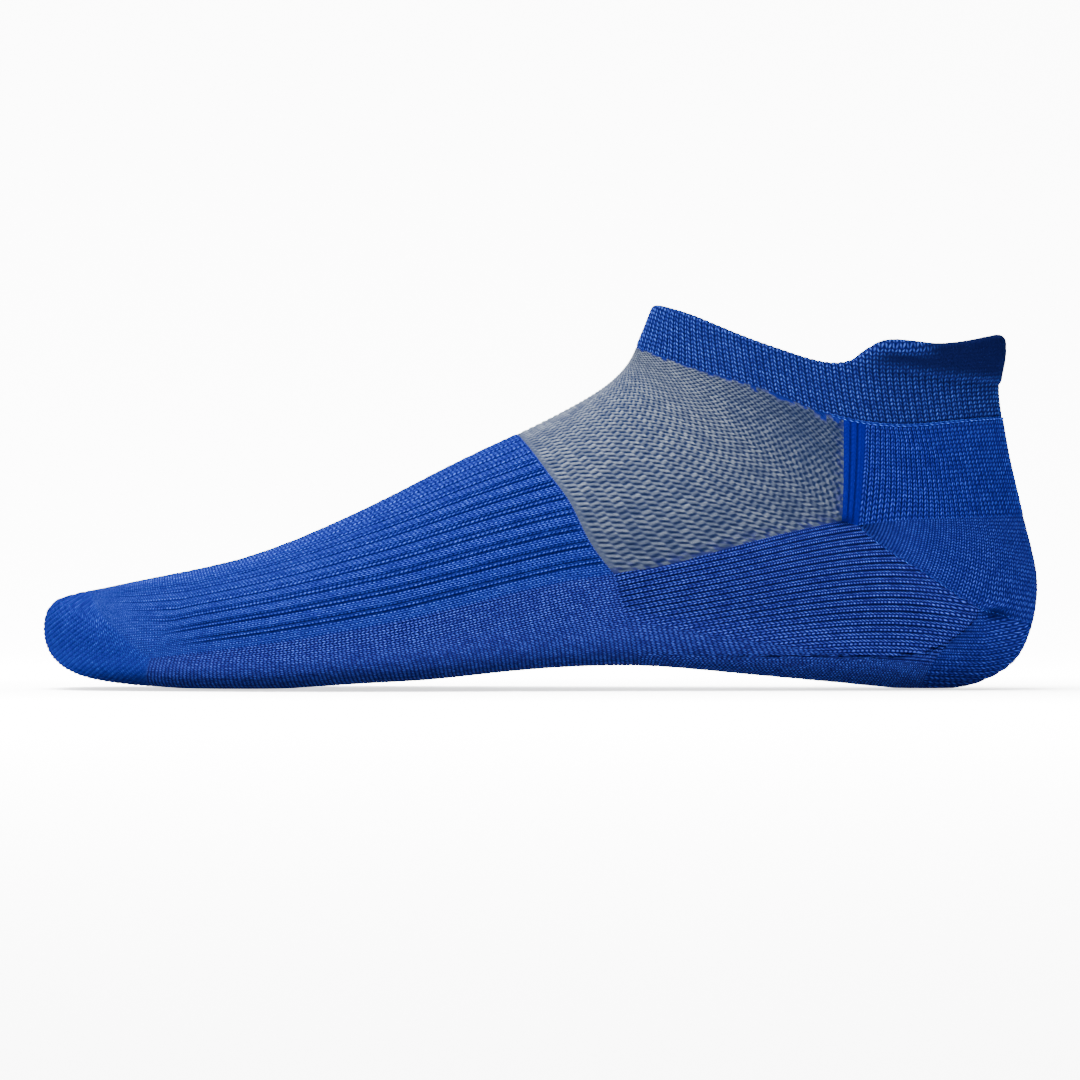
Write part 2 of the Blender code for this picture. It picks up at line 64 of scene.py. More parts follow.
# Course: top line (x, z), under line (x, z), half width, depth share of the widest point, squareness of the
# upper half and of the lower half. x counts from the toe tip. The CAD model has the same courses.
COURSES = (
    (4.3, 23.8, 4.3, 23.8, 10.0, 0.50, 1.00, 1.00),
    (7.2, 24.7, 1.2, 21.0, 16.5, 0.50, 1.00, 1.00),
    (11.0, 25.6, 0.0, 16.0, 21.5, 0.50, 0.98, 0.98),
    (16.6, 26.7, 1.1, 10.4, 26.5, 0.52, 0.96, 0.94),
    (23.0, 28.0, 4.6, 6.2, 31.0, 0.54, 0.94, 0.88),
    (31.0, 29.5, 11.5, 3.0, 35.0, 0.57, 0.94, 0.82),
    (41.0, 31.5, 24.0, 1.0, 39.0, 0.60, 0.95, 0.78),
    (52.0, 34.1, 42.0, -0.3, 42.4, 0.62, 0.97, 0.76),
    (65.0, 38.5, 62.0, -0.3, 44.8, 0.64, 1.00, 0.75),
    (79.5, 44.7, 82.0, 1.2, 45.4, 0.66, 1.03, 0.75),
    (95.4, 52.4, 102.6, 2.4, 43.8, 0.67, 1.05, 0.76),
    (111.0, 60.4, 122.0, 4.4, 41.0, 0.66, 1.06, 0.78),
    (126.5, 67.7, 142.0, 5.9, 38.0, 0.64, 1.05, 0.80),
    (139.5, 74.2, 164.0, 5.9, 35.5, 0.61, 1.02, 0.82),
    (148.5, 79.5, 190.0, 3.6, 34.0, 0.58, 1.00, 0.84),
    (153.5, 83.6, 216.0, 1.2, 33.0, 0.55, 1.00, 0.86),
    (156.0, 86.6, 238.0, -0.5, 32.3, 0.53, 1.00, 0.88),
    (157.3, 88.8, 253.0, 3.2, 31.8, 0.51, 1.00, 0.90),
    (158.2, 90.8, 261.5, 10.7, 31.4, 0.50, 1.00, 0.92),
    (159.0, 92.6, 264.9, 23.0, 31.0, 0.49, 1.00, 0.94),
    (159.7, 94.3, 264.6, 33.0, 30.6, 0.48, 1.00, 0.96),
    (160.4, 95.9, 262.3, 42.5, 30.2, 0.47, 1.00, 0.98),
    (161.0, 97.5, 260.0, 52.0, 29.8, 0.46, 1.00, 1.00),
    (161.6, 99.0, 257.8, 61.5, 29.4, 0.45, 1.00, 1.00),
    (162.2, 100.5, 256.1, 71.0, 29.0, 0.44, 1.00, 1.00),
    (162.8, 102.0, 255.1, 80.5, 28.8, 0.44, 1.00, 1.00),
    (163.4, 103.5, 256.3, 88.0, 29.6, 0.44, 1.00, 1.00),
    (164.0, 105.0, 256.2, 95.0, 30.5, 0.44, 1.00, 1.00),
)
LAST = len(COURSES) - 1

# Lines between the knitted zones, as points of the side view (x from the toe tip, z), the same as in the CAD
# model.
TOE_CORNER = (30.0, 8.4)
MESH_FRONT_CORNER = (151.8, 30.7)
MESH_HEEL_CORNER = (212.1, 44.6)
GORE_START = (216.3, 43.4)
GORE_END = (256.7, 19.0)
TOE_GORE = ((7.9, 21.9), (11.2, 19.5), (14.4, 17.9), (18.0, 14.6), (22.1, 11.4), TOE_CORNER)
TOE_SEAM = ((12.6, 26.0), (16.0, 20.6), (20.0, 16.5), (24.5, 12.4), TOE_CORNER)
SOLE_TOE_EDGE = (TOE_CORNER, (30.5, 0.4))
RIB_SOLE_EDGE = (TOE_CORNER, (68.4, 13.4), (76.4, 14.7), (103.1, 20.0), (137.8, 28.3), MESH_FRONT_CORNER)
MESH_FRONT = ((126.5, 67.7), (129.8, 63.8), (135.3, 56.4), (140.2, 49.7), (145.1, 39.9), MESH_FRONT_CORNER)
MESH_BOTTOM = (MESH_FRONT_CORNER, (164.7, 32.8), (183.1, 37.7), (201.5, 42.3), MESH_HEEL_CORNER)
MESH_REAR = (MESH_HEEL_CORNER, (212.5, 57.0), (212.5, 70.9))
STRIP_FOOT = (MESH_HEEL_CORNER, GORE_START)
STRIP_REAR = (GORE_START, (217.6, 57.0), (218.3, 70.4))
CUFF_LOWER = (
    (158.3, 90.9), (167.2, 87.4), (174.5, 84.7), (183.1, 82.2), (195.4, 77.9), (207.6, 73.0),
    (218.5, 70.4), (232.8, 69.9), (241.9, 70.8), (255.6, 72.1),
)
HEEL_LINE = (GORE_START, (228.0, 44.8), (240.0, 45.2), (252.0, 45.6), (261.3, 45.9))
CUP_GORE_POINT = (248.6, 21.6)
GORE_RUN = (GORE_START, (224.4, 36.8), (233.0, 31.6), (242.0, 25.6), CUP_GORE_POINT)
HEEL_GORE = (*GORE_RUN, GORE_END, (263.9, 17.2))
CUP_SIDE = (241.5, 13.0)
CUP_CORNER = (236.0, 6.5)
CUP_FRONT = (CUP_GORE_POINT, CUP_SIDE, CUP_CORNER, (234.0, 0.0))
ARCH_CORNER = (155.5, 18.5)
ARCH_FRONT = (MESH_FRONT_CORNER, (153.5, 24.0), ARCH_CORNER, (158.0, 6.0))
ARCH_LOWER = (ARCH_CORNER, (175.0, 15.0), (202.0, 11.0), CUP_CORNER)
ARCH_REAR = (*GORE_RUN, CUP_SIDE, CUP_CORNER)
RIM = (
    (163.0, 102.4), (170.9, 99.9), (179.5, 96.2), (188.0, 92.7), (196.6, 89.7), (205.1, 87.1),
    (211.3, 86.4), (216.5, 87.9), (222.2, 91.4), (228.0, 92.0), (239.3, 91.1), (247.9, 92.3), (256.2, 94.2),
)
TAB_ROOT = ((211.3, 86.4), (218.0, 85.2), (226.0, 83.8), (236.0, 82.4), (246.0, 81.4), (255.1, 80.9))

# Fabric, in mm: the thickness of the turned cuff and of the padded tab, the least depth of their lining, the
# terry cushions inside, how high the edge of each zone stands, and how close two points lie that are merged.
CUFF_THICK, TAB_THICK, LINING_DEPTH = 2.6, 3.8, 2.2
TERRY_DEPTH, TERRY_PILE = 1.5, 2.4
RIM_HEIGHT = 0.1
MERGE = 0.004

# Linking threads, in mm: the length of a link, the spacing of the rings a thread is made of, and for each
# seam the thread's radius and how high it lies on the knit. The welt's thread is sunk only in front.
CHAIN_PITCH, CHAIN_STEP = 1.6, 0.28
TOE_GORE_THREAD, TOE_SEAM_THREAD, HEEL_GORE_THREAD = (0.35, -0.40), (0.30, -0.32), (0.35, -0.15)
WELT_THREAD_RADIUS, WELT_THREAD_SUNK = 0.42, 0.45

# The stage, in metres: how far back the backdrop stands, how widely it curves, how far the floor lies below
# the sock and how far it reaches. It glows and lights the sock, less under the sock than further away, which
# paints a soft shadow on the floor there. Lights are in watts.
BACKDROP_Y, BACKDROP_BEND, FLOOR_DROP, FLOOR_REACH = 1.6, 0.9, 0.0003, 4.0
FLOOR_GLOW, GLOW_UNDER_SOCK = 6.0, 1.5
GLOW_REACH, GLOW_SQUEEZE = (0.04, 0.24), (0.35, 1.0, 1.0)
TOP_WATTS, FRONT_WATTS, WORLD_LIGHT = 150, 26, 0.25

# Stitches: how many wales and courses a zone has, and how widely they fan out. The toe's pitches are in mm.
MESH_WALES, MESH_COURSES, MESH_PER_SHARE, MESH_FAN = 84, 49, 72, 0.85
ARCH_RIBS, ARCH_COURSES, CUP_COURSES = 19, 84, 28
CUP_SPREAD, WAIST_SPREAD = 14.0, 24.0
WELT_RIBS, WELT_COURSE = 128, 1.1
TOE_WALE, TOE_COURSE = 1.50, 1.10
RIB_REPEAT = 4

# How much each direction adds to the count of the toe's slanted wales.
TOE_SLANT_X, TOE_SLANT_Z, TOE_SLANT_Y = 0.81, 0.59, 0.90

# Grid steps of the welt: points to a rib, and steps up the cuff, up the tab and over the rim.
WELT_FINE, CUFF_STEPS, TAB_STEPS, RIM_STEPS = 6, 48, 32, 9

# The tab, in shares of the half loop: how far behind its front ends the padding is full, where the pale front
# corner of its lip ends and the lip's dark, partly navy yarn and partly painted shade, is full, and the slack
# for points that lie right on a front end.
TAB_RISE, TAB_CORNER, TAB_SLACK = 0.14, 0.24, 0.004

# The fan of the arch ribs: the uppermost rib and the lowest one, as points of the side view.
ARCH_RIB_TOP = ((140.0, 28.0), (151.8, 31.2), (183.1, 38.2), (212.1, 45.0), (222.0, 46.2), (250.0, 44.0))
ARCH_RIB_FOOT = ((140.0, 3.0), (160.0, 5.5), (185.0, 9.0), (212.0, 11.5), (230.0, 11.5), (250.0, 9.0))

# Puckers beside the heel, and a dent where the mesh, a side strip and an arch band meet: x from the toe tip,
# z, reach along and up, height (a dent is below 0), in mm. PUCKER_SHADE is how much a dent darkens the yarn
# for each mm of its depth, a painted shade in the dent.
PUCKERS = ((253.7, 20.3, 3.2, 1.5, -1.4), (252.5, 24.2, 4.5, 2.2, 0.7), (213.0, 44.7, 2.6, 1.3, -1.2))
PUCKER_SHADE = 0.75

# How finely the turn round a loop is tabled: rows to a course, shares of the half loop, steps of the turn.
TURN_ROWS, TURN_SHARES, TURN_STEPS = 8, 120, 240

# How finely a place is looked for: rows to a course, points of a half loop, how far off a loop it may lie, and
# the rounds in which a patch settles.
SEARCH_ROWS, SEARCH_SHARES, SEARCH_SLACK = 80, 401, 0.05
SETTLING_ROUNDS = 40


# ---- the sock's surface ----


def spline(knots, values):
    """A natural cubic spline through the values at the knots, as a function."""
    x, y = np.asarray(knots, float), np.asarray(values, float)
    h = np.diff(x)
    system = np.eye(len(x))
    right = np.zeros_like(y)
    for i in range(1, len(x) - 1):
        system[i, i - 1 : i + 2] = h[i - 1], 2 * (h[i - 1] + h[i]), h[i]
        right[i] = 6 * ((y[i + 1] - y[i]) / h[i] - (y[i] - y[i - 1]) / h[i - 1])
    bend = np.linalg.solve(system, right)

    def at(q):
        q = np.clip(q, x[0], x[-1])
        i = np.clip(np.searchsorted(x, q, side="right") - 1, 0, len(x) - 2)
        left, span = q - x[i], h[i]
        over = span - left
        if y.ndim > 1:
            left, over, span = left[..., None], over[..., None], span[..., None]
        curve = (bend[i] * over**3 + bend[i + 1] * left**3) / (6 * span)
        from_here, from_next = y[i] / span - bend[i] * span / 6, y[i + 1] / span - bend[i + 1] * span / 6
        return curve + from_here * over + from_next * left

    return at


course = spline(np.arange(LAST + 1), np.array(COURSES))


def loop_shape(row, turn):
    """The share of the way down to the under line, and that of the half width, at a turn from 0 to pi."""
    widest, upper, lower = row[..., 5], row[..., 6], row[..., 7]
    rise = np.abs(np.cos(turn))
    on_top = turn <= math.pi / 2
    power = np.where(on_top, upper, lower)
    down = np.where(on_top, widest * (1 - rise**power), widest + (1 - widest) * rise**power)
    return down, np.abs(np.sin(turn)) ** power


def turn_table():
    """For each course and each share of the half loop's length, the turn there."""
    us = np.linspace(0, LAST, TURN_ROWS * LAST + 1)
    turns = np.linspace(0, math.pi, TURN_STEPS + 1)
    shares = np.linspace(0, 1, TURN_SHARES + 1)
    rows = course(us)
    down, out = loop_shape(rows[:, None, :], turns[None, :])
    height = np.hypot(rows[:, 2] - rows[:, 0], rows[:, 3] - rows[:, 1])
    steps = np.hypot(np.diff(down, axis=1) * height[:, None], np.diff(out, axis=1) * rows[:, 4:5])
    run = np.concatenate([np.zeros((len(us), 1)), np.cumsum(steps, axis=1)], axis=1)
    return np.array([np.interp(shares, r / r[-1], turns) for r in run])


TURNS = turn_table()


def turn_at(u, share):
    """The turn at a share of the half loop's length, read from the table."""
    row, column = np.clip(u, 0, LAST) * TURN_ROWS, np.clip(share, 0, 1) * TURN_SHARES
    i = np.minimum(row.astype(int), TURN_ROWS * LAST - 1)
    j = np.minimum(column.astype(int), TURN_SHARES - 1)
    p, q = row - i, column - j
    upper = TURNS[i, j] * (1 - q) + TURNS[i, j + 1] * q
    lower = TURNS[i + 1, j] * (1 - q) + TURNS[i + 1, j + 1] * q
    return upper * (1 - p) + lower * p


def share_of(a):
    """The share of the way from the top line to the under line, on either side."""
    round_it = np.mod(a, 2.0)
    return np.where(round_it <= 1, round_it, 2 - round_it)


def tube(u, a):
    """The surface at (u, a), as points in mm in the sock's own frame."""
    u, a = np.broadcast_arrays(np.asarray(u, float), np.asarray(a, float))
    share, on_near = share_of(a), np.mod(a, 2.0) <= 1
    row = course(u)
    down, out = loop_shape(row, turn_at(u, share))
    x = row[..., 0] + (row[..., 2] - row[..., 0]) * down
    z = row[..., 1] + (row[..., 3] - row[..., 1]) * down
    y = np.where(on_near, -1.0, 1.0) * row[..., 4] * out
    y = y + TOE_SHIFT * np.clip(1 - x / TOE_SHIFT_REACH, 0, 1) ** 2
    return np.stack([x - SOCK_LENGTH / 2, y, np.maximum(z, 0.0)], axis=-1)


def outward(u, a):
    """The unit normals of the surface at (u, a)."""
    step_u, step_a, tip_u = 0.05, 0.004, 0.02
    along = tube(np.minimum(u + step_u, LAST), a) - tube(np.maximum(u - step_u, tip_u), a)
    around = tube(u, a + step_a) - tube(u, a - step_a)
    normal = np.cross(around, along)
    length = np.linalg.norm(normal, axis=-1, keepdims=True)
    return np.where(length > 1e-9, normal / np.maximum(length, 1e-9), (-1.0, 0.0, 0.0))


def located(points):
    """The (u, a) of points of the side view, on the near side."""
    us = np.linspace(0.05, LAST, SEARCH_ROWS * LAST + 1)
    shares = np.linspace(0, 1, SEARCH_SHARES)
    rows = course(us)
    top, low = rows[:, 0:2], rows[:, 2:4]
    across = low - top
    found = []
    for point in points:
        away = np.asarray(point) - top
        side = away[:, 0] * across[:, 1] - away[:, 1] * across[:, 0]
        down = (away * across).sum(1) / (across**2).sum(1)
        on_loop = (down[1:] > -SEARCH_SLACK) & (down[1:] < 1 + SEARCH_SLACK)
        crossing = np.nonzero((side[:-1] * side[1:] <= 0) & on_loop)[0]
        i = crossing[0] if len(crossing) else int(np.argmin(np.abs(side)))
        span = side[i + 1] - side[i] if i + 1 < len(side) else 0
        u = us[i] - (side[i] * (us[1] - us[0]) / span if span else 0)
        same_u = np.full_like(shares, u)
        downs = loop_shape(course(same_u), turn_at(same_u, shares))[0]
        found.append((u, float(np.interp(down[i], downs, shares))))
    return np.array(found)


def smooth_line(points):
    """The places (u, a) along a smooth side-view line through the points."""
    points = np.array(points, float)
    run = np.concatenate([[0], np.cumsum(np.hypot(*np.diff(points, axis=0).T))])
    if len(points) > 2:
        points = spline(run, points)(np.linspace(0, run[-1], 12 * len(points)))
    return located(points)


def cross_line(points, from_top=False, to_under=False):
    """u as a function of a, for a line that runs round the tube, the same on both sides."""
    place = smooth_line(points)
    if from_top:
        place[0, 1] = 0.0
    if to_under:
        place[-1, 1] = 1.0
    place = place[np.argsort(place[:, 1])]
    return lambda a: np.interp(share_of(a), place[:, 1], place[:, 0])


def side_line(*runs, start=None):
    """a as a function of u, for a line of smooth runs along the tube on the near side."""
    place = np.concatenate([smooth_line(points) for points in runs])
    if start is not None:
        place = np.concatenate([[start], place])
    place = place[np.argsort(place[:, 0])]
    return lambda u: np.interp(u, place[:, 0], place[:, 1])


def far(line):
    """The same side line on the far side, past the under line."""
    return lambda u: 2 - line(u)


def over(line):
    """The same side line on the far side, past the top line."""
    return lambda u: -line(u)


def level(value):
    """A line that stays at one value."""
    return lambda q: np.full_like(np.asarray(q, float), value)


seam = cross_line(TOE_SEAM, from_top=True)
toe_edge = cross_line(SOLE_TOE_EDGE, to_under=True)
mesh_front = cross_line(MESH_FRONT, from_top=True)
cuff_lower = cross_line(CUFF_LOWER, from_top=True, to_under=True)
strip_foot = cross_line(STRIP_FOOT)
heel_line = cross_line(HEEL_LINE, to_under=True)
heel_gore = cross_line(HEEL_GORE, to_under=True)
cup_front = cross_line(CUP_FRONT, to_under=True)
arch_front = cross_line(ARCH_FRONT)
arch_rear = cross_line(ARCH_REAR)
rim = cross_line(RIM, from_top=True, to_under=True)
tab_root = cross_line(TAB_ROOT, to_under=True)
toe_gore = side_line(TOE_GORE, start=(0.0, 0.5))
rib_edge = side_line(RIB_SOLE_EDGE)
mesh_side = side_line(MESH_BOTTOM, MESH_REAR)
arch_upper = side_line(MESH_BOTTOM, STRIP_FOOT)
strip_rear = side_line(STRIP_REAR)
arch_lower = side_line(ARCH_LOWER)
GORE_A = float(located([GORE_START])[0, 1])
CUP_A = float(located([CUP_GORE_POINT])[0, 1])
TAB_A = float(located([TAB_ROOT[0]])[0, 1])


def patch(start, end, near, away, across, along):
    """The grid of (u, a) between two cross lines and two side lines, with the shares s across and t along.

    u and a depend on each other along slanted lines, so they are settled in turns.
    """
    s, t = np.meshgrid(np.linspace(0, 1, across + 1), np.linspace(0, 1, along + 1), indexing="ij")
    first_u = start(np.ones_like(t))
    a = near(first_u) * (1 - s) + away(first_u) * s
    for _ in range(SETTLING_ROUNDS):
        u = start(a) * (1 - t) + end(a) * t
        a = (a + near(u) * (1 - s) + away(u) * s) / 2
    return u, a, s, t


# ---- stitches ----


def smooth(low, high, q):
    """0 up to low and 1 from high on, with a smooth rise between them. low may be the larger one."""
    t = np.clip((q - low) / (high - low), 0, 1)
    return t * t * (3 - 2 * t)


def bumps(q):
    """Round bumps, 1 high, between the whole numbers."""
    return np.abs(np.sin(np.pi * q))


def bell(q, width):
    """1 at 0, falling away smoothly on both sides."""
    return np.exp(-((q / width) ** 2))


def scatter(i, j, seed=0):
    """A number from 0 to 1 for each pair of whole numbers, always the same."""
    mixed = np.sin(np.floor(i) * 12.9898 + np.floor(j) * 78.233 + seed * 37.719) * 43758.5453
    return mixed - np.floor(mixed)


def grain(w, c, seed=0):
    """How far each stitch stands out of line with its neighbours, from -0.5 to 0.5."""
    return scatter(w, c, seed) - 0.5


def purl(w, c):
    """The reverse of knit: round bumps across the wales, half a stitch apart from row to row."""
    shift = 0.5 * (np.floor(c) % 2)
    return bumps(w + shift) ** 0.7 * bumps(c) ** 0.7


# Each relief takes wales w, courses c and the shares s and t of the patch. It gives the height in mm, the
# shade of the yarn (0 in the gaps, 1 on top), painted shade in the gaps and grooves that most reliefs mix with
# a random tone for each stitch, and the tint, the share of the coat's second colour.


def plain_relief(w, c, s, t):
    """Plain knit: low wales and lower courses."""
    wale, row = bumps(w), bumps(c)
    return 0.12 * wale + 0.08 * row + 0.10 * grain(w, c), 0.78 + 0.16 * wale + 0.12 * grain(w, c, 6), 0.0


def pocket_relief(w, c, s, t):
    """Short-row knit of the toe and heel: each course a low ridge, with the stitches less clear."""
    row = bumps(c)
    height = 0.04 * bumps(w) + 0.24 * row + 0.10 * grain(w, c, 3)
    return height, 0.12 + 0.88 * row + 0.22 * grain(w, c, 6), 0.0


def forefoot_relief(w, c, s, t):
    """A single raised wale between two grooves, then a wide flat band, again and again round the foot."""
    place = np.mod(w, RIB_REPEAT)
    groove = bell(np.minimum(place, RIB_REPEAT - place), 0.26) + bell(place - 1.15, 0.24)
    ridge = bell(place - 0.58, 0.30)
    clear = smooth(0.05, 0.30, t) * (0.80 + 0.20 * smooth(0.02, 0.16, 0.5 - np.abs(s - 0.5)))
    height = 0.12 * grain(w * 1.3, c * 1.4, 5) + clear * (0.20 * ridge - 0.62 * groove)
    # Painted shade in the grooves and a painted highlight on the raised wale, over a random tone for each
    # stitch.
    shade = 0.78 + 0.20 * grain(w, c, 6) - 0.85 * clear * groove + 0.16 * ridge * clear
    return height + 0.15, np.clip(shade, 0, 1), 0.0


def arch_relief(w, c, s, t):
    """Fine raised ribs along the foot that fade into plain knit at the band's lower edge."""
    clear = smooth(0.96, 0.62, s) * (1 - smooth(0.80, 0.97, t) * smooth(0.25, 0.60, s))
    rib = bumps(w)
    height = clear * (0.55 * rib - 0.28) + 0.10 * grain(w, c) + (1 - clear) * 0.10 * rib
    shade = clear * (0.02 + 0.98 * smooth(0.15, 0.85, rib)) + (1 - clear) * (0.66 + 0.24 * rib)
    return height + 0.1, np.clip(shade, 0, 1), 0.0


def mesh_relief(w, c, s, t):
    """Open tuck mesh: ovals of pale yarn, half a stitch apart from course to course, with gaps between.

    Its lower and rear corners are darker, a painted shade, and blue stitches run into it along its borders.
    """
    sway = w + 0.14 * np.sin(np.pi * c) + 0.05 * grain(w, c, 4)
    loose = scatter(w + 0.5 * np.cos(np.pi * c), c + 0.5, 7)
    yarn = 0.5 + 0.5 * np.cos(np.pi * c) * np.cos(2 * np.pi * sway)
    border = np.minimum(s, 1 - s)
    ragged = smooth(0.955, 0.985, t + 0.05 * grain(w, 0 * c, 9) + 0.02 * grain(w * 2, c * 2, 8))
    fleck = 0.75 * smooth(0.03, 0.0, border) * (scatter(w * 2, c * 2, 8) > 0.55) + ragged
    # Painted shade: darker along the lower edges and towards the rear corners.
    dim = 0.34 * smooth(0.30, 0.05, border) + 0.30 * smooth(0.40, 0.95, t) * smooth(0.38, 0.18, border)
    shade = smooth(0.26, 0.74, yarn) * (0.55 + 0.60 * loose) * (1 - dim)
    shade = shade * (1 - ragged) + ragged * (0.55 + 0.4 * loose)
    return 0.50 * yarn - 0.25, np.clip(shade, 0, 1.15), np.clip(fleck, 0, 1)


def cup_relief(w, c, s, t):
    """The ribs of the arch, fading out round the heel."""
    wale, clear = bumps(w), smooth(0.95, 0.45, t)
    height = (0.12 + 0.22 * clear) * wale + 0.10 * grain(w, c)
    return height, 1.0 - (0.16 + 0.42 * clear) * (1 - wale) + 0.12 * grain(w, c, 6), 0.0


def strip_relief(w, c, s, t):
    """Bold upright ribs of the bright strip."""
    ridge = bumps(w) ** 0.8
    return 0.55 * ridge - 0.2, np.clip(0.02 + 0.98 * ridge + 0.1 * grain(w, c), 0, 1), 0.0


def achilles_relief(w, c, s, t):
    """Upright wales of clear stitches with a narrow gap between them."""
    ridge = bumps(w) ** 0.8
    shade = np.clip(0.18 + 0.80 * ridge + 0.14 * grain(w, c), 0, 1)
    return 0.34 * ridge + 0.08 * bumps(c) * ridge - 0.1, shade, 0.0


def terry_relief(w, c, s, t):
    """Loops of the cushioned inside."""
    loop = purl(w + 0.3 * scatter(w, c, 2), c + 0.3 * scatter(w, c, 4))
    return 0.5 * loop, 0.3 + 0.7 * loop, 0.0


# ---- meshes ----


def pucker(points):
    """How far the puckers lift the surface at the points."""
    x, z = points[..., 0] + SOCK_LENGTH / 2, points[..., 2]
    lift = 0.0 * x
    for middle_x, middle_z, along, up, height in PUCKERS:
        lift = lift + height * np.exp(-(((x - middle_x) / along) ** 2) - ((z - middle_z) / up) ** 2)
    return lift


def grid_mesh(name, points, uv, shade, tint, keep=None):
    """A mesh of quads over a grid of points, with a UV map in stitches and the yarn's shade and tint.

    keep says which quads to take, where not all of them.
    """
    rows, columns = points.shape[:2]
    index = np.arange(rows * columns).reshape(rows, columns)

    def corners(grid):
        quads = np.stack([grid[:-1, :-1], grid[1:, :-1], grid[1:, 1:], grid[:-1, 1:]], axis=2)
        return quads.reshape((-1, 4) + grid.shape[2:])

    faces, places = corners(index), corners(np.stack(np.broadcast_arrays(*uv), axis=-1))
    if keep is not None:
        chosen = keep.reshape(-1)
        faces, places = faces[chosen], places[chosen]
        used, faces = np.unique(faces, return_inverse=True)
        faces = faces.reshape(-1, 4)
    else:
        used = index.reshape(-1)
    data = bpy.data.meshes.new(name)
    data.vertices.add(len(used))
    data.vertices.foreach_set("co", (points.reshape(-1, 3)[used] * MM).reshape(-1).astype(np.float32))
    data.loops.add(faces.size)
    data.loops.foreach_set("vertex_index", faces.reshape(-1).astype(np.int32))
    data.polygons.add(len(faces))
    data.polygons.foreach_set("loop_start", np.arange(0, faces.size, 4, dtype=np.int32))
    data.polygons.foreach_set("use_smooth", np.ones(len(faces), bool))
    data.update(calc_edges=True)
    layer = data.uv_layers.new(name="stitches")
    layer.data.foreach_set("uv", places.reshape(-1).astype(np.float32))
    for label, values in (("shade", shade), ("tint", tint)):
        attribute = data.attributes.new(label, "FLOAT", "POINT")
        values = np.broadcast_to(values, points.shape[:2]).reshape(-1)[used]
        attribute.data.foreach_set("value", values.astype(np.float32))
    return data


def weld(data):
    """Merges the points of a mesh that lie on each other, and drops the faces left without area."""
    work = bmesh.new()
    work.from_mesh(data)
    bmesh.ops.remove_doubles(work, verts=work.verts, dist=MERGE * MM)
    work.to_mesh(data)
    work.free()


def placed(name, data, coat, replaces, body):
    """Links a mesh as a piece that stands for CAD nodes and rides on a body. Given a bend between two bodies
    instead, it rides on neither and stays where it lies.
    """
    made = bpy.data.objects.new(name, data)
    bpy.context.scene.collection.objects.link(made)
    made.data.materials.append(coat)
    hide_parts(*replaces)
    if isinstance(body, str):
        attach(made, body)
    else:
        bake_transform(made)
    return made


def flush(s, t, across, along, stitches=0.8):
    """1 inside a patch and 0 at its edges, over a stitch or so."""
    near_side = np.minimum(s, 1 - s) * across
    near_end = np.minimum(t, 1 - t) * along
    return smooth(0, stitches, near_side) * smooth(0, stitches, near_end)


def settled(points, normals, height):
    """The points raised by their height, but never below the floor, where the stitches are pressed flat."""
    near_floor, facing_down = smooth(1.2, 0.2, points[..., 2]), normals[..., 2] < -0.6
    resting = near_floor * facing_down
    raised = points + normals * (height * (1 - 0.8 * resting))[..., None]
    raised[..., 2] = np.maximum(raised[..., 2], 0.0)
    return raised


def knit(
    name, replaces, lines, stitches, fine, relief, coat, body="foot", field=None,
    rim_shade=0.75,
):
    """One knitted zone between its lines (start, end, near, away).

    stitches is (wales across, courses along) and fine the points to a wale and to a course. field gives the
    stitch coordinates where they don't follow the patch, and rim_shade is the shade of the zone's edge.
    """
    wales, courses = stitches
    u, a, s, t = patch(*lines, int(round(wales * fine[0])), int(round(courses * fine[1])))
    points = tube(u, a)
    w, c = field(points, a, s, t) if field else (s * wales, t * courses)
    height, shade, tint = relief(w, c, s, t)
    edge, pulled = flush(s, t, wales, courses), pucker(points)
    # Painted shade: the yarn is darker in the dents of the puckers.
    shade = (shade * edge + rim_shade * (1 - edge)) * np.clip(1 + PUCKER_SHADE * pulled, 0.0, 1.0)
    points = settled(points, outward(u, a), height * edge + RIM_HEIGHT * (1 - edge) + pulled)
    data = grid_mesh(name, points, (w, c), shade, tint)
    made = placed(name, data, coat, replaces, body)
    return made


# ---- materials ----


